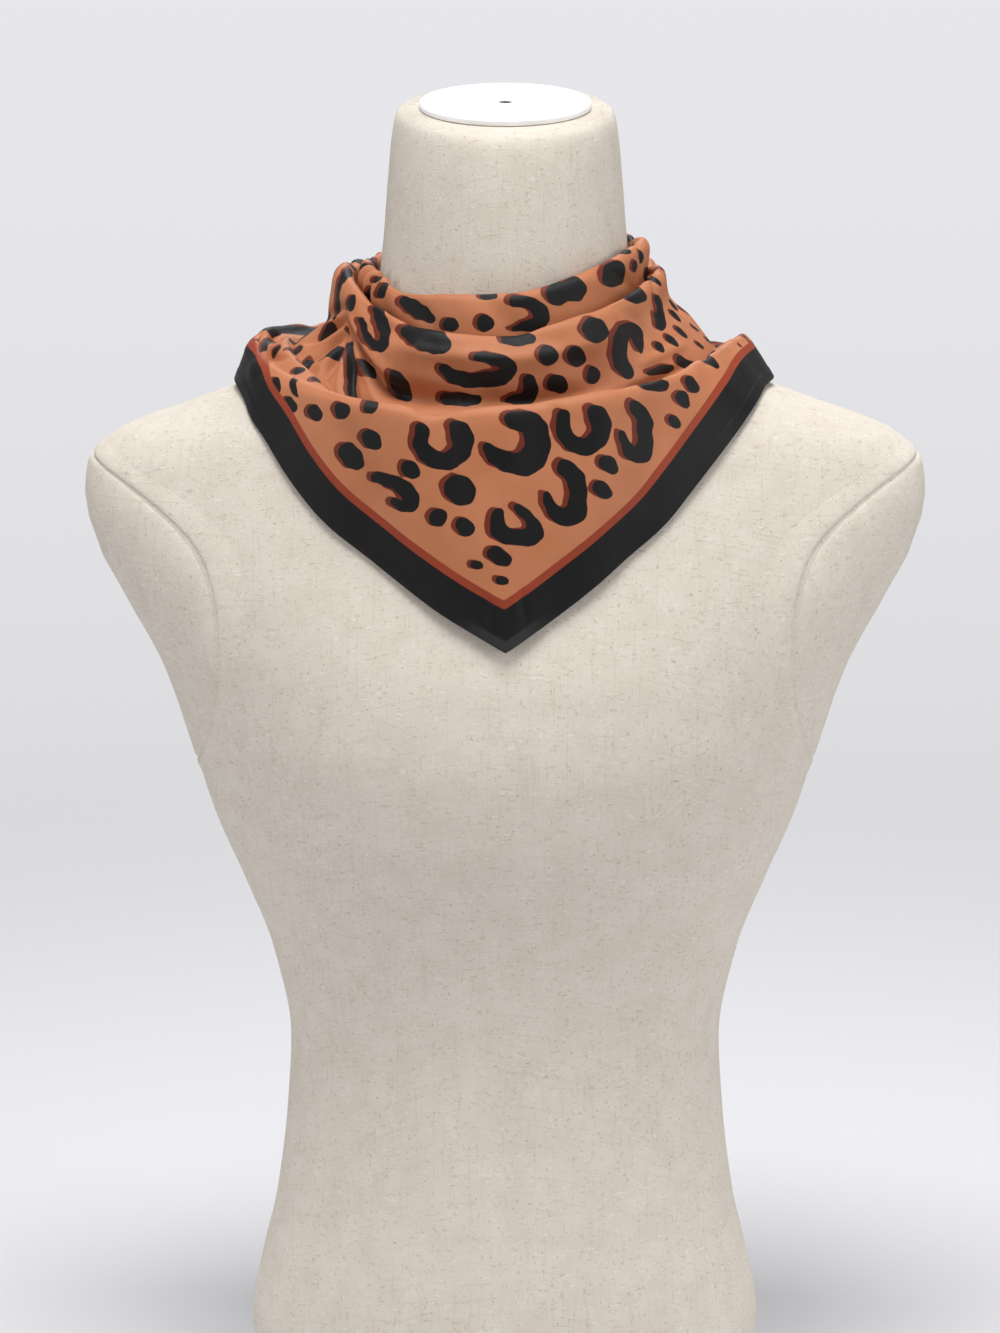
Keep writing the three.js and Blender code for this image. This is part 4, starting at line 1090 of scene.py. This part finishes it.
# Scattered motifs where the chart does not reach: dark rings among spots, none on another, and at
# the front none in sight but in the tucks' depth.
SCATTER_SEED = 11
SCATTER_TRIES = 2600
SCATTER_BIG = 500
BIG_SIZES, BIG_TILTS = (15, 27), (-180, 180)
SMALL_SIZES, SMALL_TILTS = (5, 11), (-70, 10)
CHARTED_TO = 70
IN_SIGHT_TO = 80
SCATTER_GAP = 3.2
BORDER_CLEAR = 24
HIDDEN_PLACES = [(-1, 1.4), (4.2, 6.8), (12.4, 14.6)]
scatter = np.random.default_rng(SCATTER_SEED)
for attempt in range(SCATTER_TRIES):
    i = scatter.integers(4, len(turn_line) - 4)
    j = scatter.integers(2, len(place_line) - 8)
    big = attempt < SCATTER_BIG
    size = scatter.uniform(*(BIG_SIZES if big else SMALL_SIZES))
    tilt = scatter.uniform(*(BIG_TILTS if big else SMALL_TILTS))
    if attempt % 3 and abs(turn_line[i]) < CHARTED_TO:
        continue
    gaps_left = [np.linalg.norm(cloth_points[i, j] - other) - radius for other, radius in taken]
    if min(gaps_left) < size / 2 + SCATTER_GAP:
        continue
    if 1 < flat_down[i, -1] - flat_down[i, j] < BORDER_CLEAR + size / 2:
        continue
    in_sight = cloth_normals[i, j] @ view_ahead < 0 and abs(turn_line[i]) < IN_SIGHT_TO
    if in_sight and not any(low < place_line[j] < high for low, high in HIDDEN_PLACES):
        continue
    kinds = ("ring", "jay", "cee", "curl", "heavy", "hook") if big else ("spot", "spot", "bean")
    kind = kinds[scatter.integers(len(kinds))]
    wide, tall, stroke = (1, scatter.uniform(0.8, 1.1), 0.28) if big else (1.3, 1, 0.9)
    add_motif(i, j, kind, size * wide, size * tall, size * stroke, tilt, level[i], upward(i, j))

# The outlines are drawn by hand, so they waver a little, in slanting waves of x, y, z and start. The
# distance to the hem is kept with the print, because the border and the hem's thickness follow it.
WAVERS = [(0.2, (0.42, 0.3, 0.61), 0), (0.2, (-0.52, 0.4, 0.73), 0), (0.06, (1.3, 0, 0.8), 1.9)]
CORNER_FROM = 60
HEM_FAR = 60.0
HEM_FROM_PLACE = 14
LEVEL_SHARE = 0.9


def thinned(line, step=3):
    """Every so many points of a line, and its last."""
    return np.concatenate([line[:-1:step], line[-1:]])


waver = sum(size * np.sin(cloth_points @ slant + start) for size, slant, start in WAVERS)
spot_gap += waver
rust_gap += waver
hem_gap = np.full(cloth_points.shape[:2], HEM_FAR)
falls = place_line > HEM_FROM_PLACE
for hem_line in (cloth_points[turn_line <= 0, -1], cloth_points[turn_line >= 0, -1]):
    gap = distance_to_run(cloth_points[:, falls], thinned(hem_line))[0]
    hem_gap[:, falls] = np.minimum(hem_gap[:, falls], gap)

# Beyond the front, the hem's distance is measured along the cloth where the hem runs level, so that
# the border keeps its width inside the dents.
drop = flat_down[:, -1:] - flat_down
hem_way = np.gradient(cloth_points[:, -1], axis=0)
hem_level = np.hypot(hem_way[:, 0], hem_way[:, 1]) / np.linalg.norm(hem_way, axis=1)
hem_level[np.abs(turn_line) < CORNER_FROM] = 0
hem_gap = np.maximum(hem_gap, LEVEL_SHARE * hem_level[:, None] * drop)

# Where each point lies on the flat square, for the weave: up from the hem, and along it, with a lean
# away from the front point as it rises.
hem_run = run_length(cloth_points[:, -1:], 0)[:, 0]
hem_run = hem_run - hem_run[len(turn_line) // 2]
thread_across = hem_run[:, None] + 0.5 * drop * np.sign(hem_run)[:, None]


def print_on(piece, column, row, spots, rusts, hems):
    """Puts the distances to the print's marks and to the hem on a piece's vertices, in mm."""
    for attribute, values in (("spot", spots), ("rust", rusts), ("hem", hems)):
        layer = piece.data.attributes.new(attribute, "FLOAT", "POINT")
        layer.data.foreach_set("value", values[column, row].astype(np.float32))


def sheet_wall(name, points, thick, printed, across, along):
    """A closed thin shell on a grid of points, with the print's distances on its vertices."""
    normals = normals_of(points)
    columns, rows = points.shape[:2]
    outer = points + normals * (thick / 2)[..., None]
    inner = points - normals * (thick / 2)[..., None]
    order = np.concatenate([np.arange(rows), np.arange(rows - 1, -1, -1), [0]])
    is_inner = np.concatenate([np.zeros(rows, bool), np.ones(rows, bool), [False]])
    loop = np.where(is_inner[None, :, None], inner[:, order], outer[:, order])
    loop = np.concatenate([points[:1, order], loop, points[-1:, order]])
    pick = np.concatenate([[0], np.arange(columns), [columns - 1]])
    piece, column, row = new_grid(name, columns + 1, len(order) - 1)
    across, along, *printed = (values[pick][:, order] for values in (across, along, *printed))
    place_grid(piece, column, row, loop, across, along)
    print_on(piece, column, row, *printed)
    weld(piece, outward=False)
    close_and_turn(piece)
    return piece


# Silk: a satin weave, smooth and softly bright, printed on the square before it was hemmed. The
# point at the front gets painted sheen: a grey where its rolled hem catches the light.
BORDER = 17.2
RUST_LINE = 3.7
PRINT_EDGE = 0.16
POINT_PLACE = (0, -0.110, 0.394)
TIP_SHEEN = 0.45
SHEEN_ROUND = (0.03, 0.008)
SHEEN_FROM_HEM = (5.4, 4.2)
silk, tree, skin = new_material("printed_silk_satin")
spot_away, rust_away, hem_away = (
    node(tree, "ShaderNodeAttribute", attribute_name=name).outputs["Fac"] for name in ("spot", "rust", "hem")
)
cloth = weave_node(tree, 4200, 0.35, 160)
spot = object_place(tree)
shade = ramp(tree, noise(tree, spot, 35, 3), 0.3, 0.7)
black = blend_colours(tree, shade, linear(12, 11, 12), linear(17, 15, 16))
colour = blend_colours(tree, shade, linear(180, 113, 75), linear(190, 122, 85))
for away, edge, ink in [
    (rust_away, 0, linear(108, 42, 24)),
    (spot_away, 0, black),
    (hem_away, BORDER + RUST_LINE, linear(146, 59, 34)),
    (hem_away, BORDER, black),
]:
    colour = blend_colours(tree, ramp(tree, away, edge + PRINT_EDGE, edge - PRINT_EDGE), colour, ink)
# Painted sheen: the front point is greyed where its rolled hem catches the light.
tip_away = node(tree, "ShaderNodeVectorMath", operation="DISTANCE")
tip_away.inputs[1].default_value = POINT_PLACE
tree.links.new(spot, tip_away.inputs[0])
wear_and_sheen = math_node(tree, "MULTIPLY", ramp(tree, tip_away.outputs["Value"], *SHEEN_ROUND),
                 ramp(tree, hem_away, *SHEEN_FROM_HEM))
colour = blend_colours(tree, math_node(tree, "MULTIPLY", wear_and_sheen, TIP_SHEEN), colour, linear(66, 65, 63))
tree.links.new(colour, skin.inputs["Base Color"])
streaks = noise(tree, spot, 260, 3, (1.0, 1.0, 0.35))
tree.links.new(math_node(tree, "MULTIPLY_ADD", streaks, 0.16, 0.36), skin.inputs["Roughness"])
set_inputs(skin, {
    "Specular IOR Level": 0.25, "Sheen Weight": 0.03, "Sheen Roughness": 0.35,
    "Sheen Tint": linear(250, 225, 205),
})
surface = math_node(tree, "ADD", math_node(tree, "MULTIPLY", cloth.outputs["Height"], 0.4),
                    math_node(tree, "MULTIPLY", noise(tree, spot, 320, 3), 1.4))
bump(tree, skin, surface, 0.3, 0.00025)

# The three stretches of the folded cloth. Each runs right round to the knot, and the next begins in
# the tuck below it. The hem is turned twice and stitched, so the last 4.5 mm is thicker.
CLOTH_THICK = 0.55
HEM_THICK = 1.05
HEM_WIDE = 4.5
HEM_STEP = 1.6
HEM_ROLL = 0.6
HEM_THINNEST = 0.12


def hemmed(edge_gap):
    """The cloth's thickness by the distance to its edge, with a soft step and a rounded edge."""
    share = np.clip((HEM_WIDE + HEM_STEP - edge_gap) / HEM_STEP, 0, 1)
    full = CLOTH_THICK + (HEM_THICK - CLOTH_THICK) * share * share * (3 - 2 * share)
    return full * np.clip(np.sqrt(np.maximum(edge_gap, 0) / HEM_ROLL), HEM_THINNEST, 1)


thick = hemmed(hem_gap)
for name, low, high, nodes in [
    ("scarf_roll", 0, NECK_SEAM, ["scarf_neck_roll"]),
    ("scarf_middle", NECK_SEAM, MIDDLE_SEAM, ["scarf_middle_fold"]),
    ("scarf_fall", MIDDLE_SEAM, HEM_PLACE, ["scarf_front_point", "scarf_back_left", "scarf_back_right"]),
]:
    rows = between(place_line, low, high, NO_LENGTH)[0]
    part = (slice(None), slice(rows[0], rows[-1] + 1))
    printed = (spot_gap[part], rust_gap[part], hem_gap[part])
    piece = sheet_wall(name, cloth_points[part], thick[part], printed, thread_across[part], drop[part])
    put_on(piece, silk, "silk", *nodes)

# Knot: the two ends cross and tie once at the nape. One end wraps over the other in a short band,
# and the rest of the cloth is drawn into folds that run through it. The border shows on its low side.
KNOT_FROM = 165.3
KNOT_ROUND = 96
KNOT_STEPS = 90
KNOT_BORDER_AT = 1.5
KNOT_BORDER_SPAN = 0.75
KNOT_HEM_GAP = 60
knot_columns = ("share", "inner", "outer", "bottom", "top")
knot_rows = [
    (0, 60, 77, 543, 571),
    (0.12, 59.5, 81, 539, 573.5),
    (0.3, 59, 86, 536, 575),
    (0.5, 59, 88.5, 534.5, 574.5),
    (0.7, 59, 86, 536, 575),
    (0.88, 59.5, 81, 539, 573.5),
    (1, 60, 77, 543, 571),
]
BAND_HALF = 0.17
BAND_SLANT = 0.06
FOLD_SIZES = (0.8, 0.7)
WRAP_SIZE = 0.8
GROOVE_DEEP = 1.5
GROOVE_AT = 0.19
GROOVE_HALF = 0.035
KNOT_DRAWN_IN = 0.9
KNOT_END = 0.03
KNOT_MARKS = 20
KNOT_DASH = (1.4, 3.2)
KNOT_RUST = [-1.2, 0, -0.6]
MARK_SEED = 5


def knot_size(share):
    inner, outer, bottom, top = (eased(knot_rows, knot_columns, name, share) for name in knot_columns[1:])
    return (inner + outer) / 2, (outer - inner) / 2, (bottom + top) / 2, (top - bottom) / 2


def dash(points, spots, rusts, start, end, radius, rust_shift):
    """Prints one short dash from one vertex to another, with its rust edge."""
    run = np.array([points[start], points[end]])
    for gaps, shift in ((spots, 0), (rusts, rust_shift)):
        np.minimum(gaps, distance_to_run(points + shift, run, [radius, radius])[0], out=gaps)


share = np.linspace(0, 1, KNOT_STEPS + 1)[:, None]
round_it = np.linspace(0, 2 * math.pi, KNOT_ROUND + 1)[None, :]
middle_reach, half_reach, middle_height, half_height = knot_size(share)
from_band = share - 0.5 - BAND_SLANT * np.sin(round_it)
band = np.exp(-(from_band / BAND_HALF) ** 6)
folds = (FOLD_SIZES[0] * np.cos(8 * round_it + 3.4 * share)
         + FOLD_SIZES[1] * np.cos(5 * round_it - 6 * share + 1.0)) * (1 - band)
wraps = WRAP_SIZE * (0.75 * np.cos(30 * (share - 0.5) + 1.6 * np.sin(round_it)) + 0.25) * band
groove = -GROOVE_DEEP * np.exp(-((np.abs(from_band) - GROOVE_AT) / GROOVE_HALF) ** 2)
swell = folds + wraps + groove - KNOT_DRAWN_IN * (1 - band)
squash = np.clip(np.minimum(share, 1 - share) / KNOT_END, 0.02, 1) ** 0.5
knot_points = around(
    KNOT_FROM + (360 - 2 * KNOT_FROM) * share,
    middle_reach + (half_reach + swell) * np.cos(round_it) * squash,
    middle_height - (half_height + swell) * np.sin(round_it) * squash,
)
knot, column, row = new_grid("scarf_tied_knot", KNOT_STEPS, KNOT_ROUND)
place_grid(knot, column, row, knot_points, run_length(knot_points, 0), run_length(knot_points, 1))
marks = np.random.default_rng(MARK_SEED)
spots, rusts = unprinted(knot_points)
for number in range(KNOT_MARKS):
    i, j = marks.integers(2, KNOT_STEPS - 2), marks.integers(0, KNOT_ROUND)
    end = (min(i + marks.integers(2, 6), KNOT_STEPS), (j + marks.integers(0, 4)) % KNOT_ROUND)
    dash(knot_points, spots, rusts, (i, j), end, marks.uniform(*KNOT_DASH), KNOT_RUST)
low_side = (round_it - KNOT_BORDER_AT - 0.5 * np.sin(3 * share)) / KNOT_BORDER_SPAN
hems = KNOT_HEM_GAP * (1 - np.exp(-(low_side ** 2))) + 8 * band
print_on(knot, column, row, spots, rusts, hems)
weld(knot)
close_and_turn(knot, lambda edge: True)
put_on(knot, silk, "silk", "scarf_knot")

# Ends: the square's two side corners hang from the knot, gathered at the top and pointed below. Lift
# is how far the knot holds the cloth off the form, and pleat is the height of its gathers.
end_columns = ("share", "middle", "half_width", "height", "lift", "pleat")
end_rows = [
    (0, 8, 7, 534, 5.6, 1.4),
    (0.15, 11, 9.5, 519, 3.2, 2.2),
    (0.35, 17, 15, 498, 0.6, 2.4),
    (0.6, 26, 22, 472, 0, 1.8),
    (0.8, 34, 20, 452, 0, 1.0),
    (1, 43, 2, 429, 0, 0),
]
END_CLEAR = 2
END_FOLDS = 2.5
END_FALL = 0.35
END_SEAT = 0.12
END_SUNK = 3
END_ACROSS = 70
END_DRAWN = 1.15
END_DOWN = 120
END_MARKS = 24
END_DASH = (1.4, 2.6)
END_RUST = [-1.5, 0, -0.7]


def back_depth(x, height):
    """How far behind the neck's axis the form's back lies."""
    n = form_size("squareness", height)
    side = np.minimum(np.abs(x) / form_size("half_width", height), 0.98)
    return form_size("back", height) * (1 - side ** n) ** (1 / n)


share = np.linspace(0, 1, END_DOWN + 1)[:, None]
across = np.linspace(-1, 1, END_ACROSS + 1)[None, :]
middle, half_width, height, lift, pleat = (
    eased(end_rows, end_columns, name, share) for name in end_columns[1:])
for side, hand in ((-1, "left"), (1, "right")):
    x = side * (middle + across * half_width)
    uneven = 0.5 * np.sin((5.3 + 0.9 * side) * across + 4 * share + 1.4 * side)
    folds_here = END_FOLDS + 0.35 * side
    wave = (1 + np.cos(math.pi * folds_here * across + uneven + 0.9 * side * share)) * pleat
    hung = height - across * END_FALL * half_width * share
    y = back_depth(x, hung) + END_CLEAR + lift + wave
    seated = np.clip(1 - share / END_SEAT, 0, 1)
    knot_turn = 180 - np.degrees(np.arctan2(np.abs(x), y))
    reach_mid, reach_half, high_mid, high_half = knot_size((knot_turn - KNOT_FROM) / (360 - 2 * KNOT_FROM))
    off = np.clip((np.hypot(x, y) - reach_mid) / reach_half, -1, 1)
    underside = high_mid - high_half * np.sqrt(1 - off * off) + END_SUNK
    z = hung + (underside - hung) * seated
    points = np.stack(np.broadcast_arrays(x, y, z), axis=-1)
    points = points if side > 0 else points[:, ::-1]
    outer_edge = points[:, -1 if side > 0 else 0]
    hems = distance_to_run(points, thinned(outer_edge))[0] * END_DRAWN
    edge_gap = np.minimum(*(distance_to_run(points, thinned(points[:, edge], 2))[0] for edge in (0, -1)))
    spots, rusts = unprinted(points)
    for number in range(END_MARKS):
        i, j = marks.integers(8, END_DOWN - 30), marks.integers(4, END_ACROSS - 4)
        end = (min(i + marks.integers(1, 5), END_DOWN), j)
        dash(points, spots, rusts, (i, j), end, marks.uniform(*END_DASH), END_RUST)
    corner = sheet_wall(f"scarf_corner_{hand}", points, hemmed(edge_gap), (spots, rusts, hems),
                        run_length(points, 1), run_length(points, 0))
    put_on(corner, silk, "silk", f"scarf_end_{hand}")
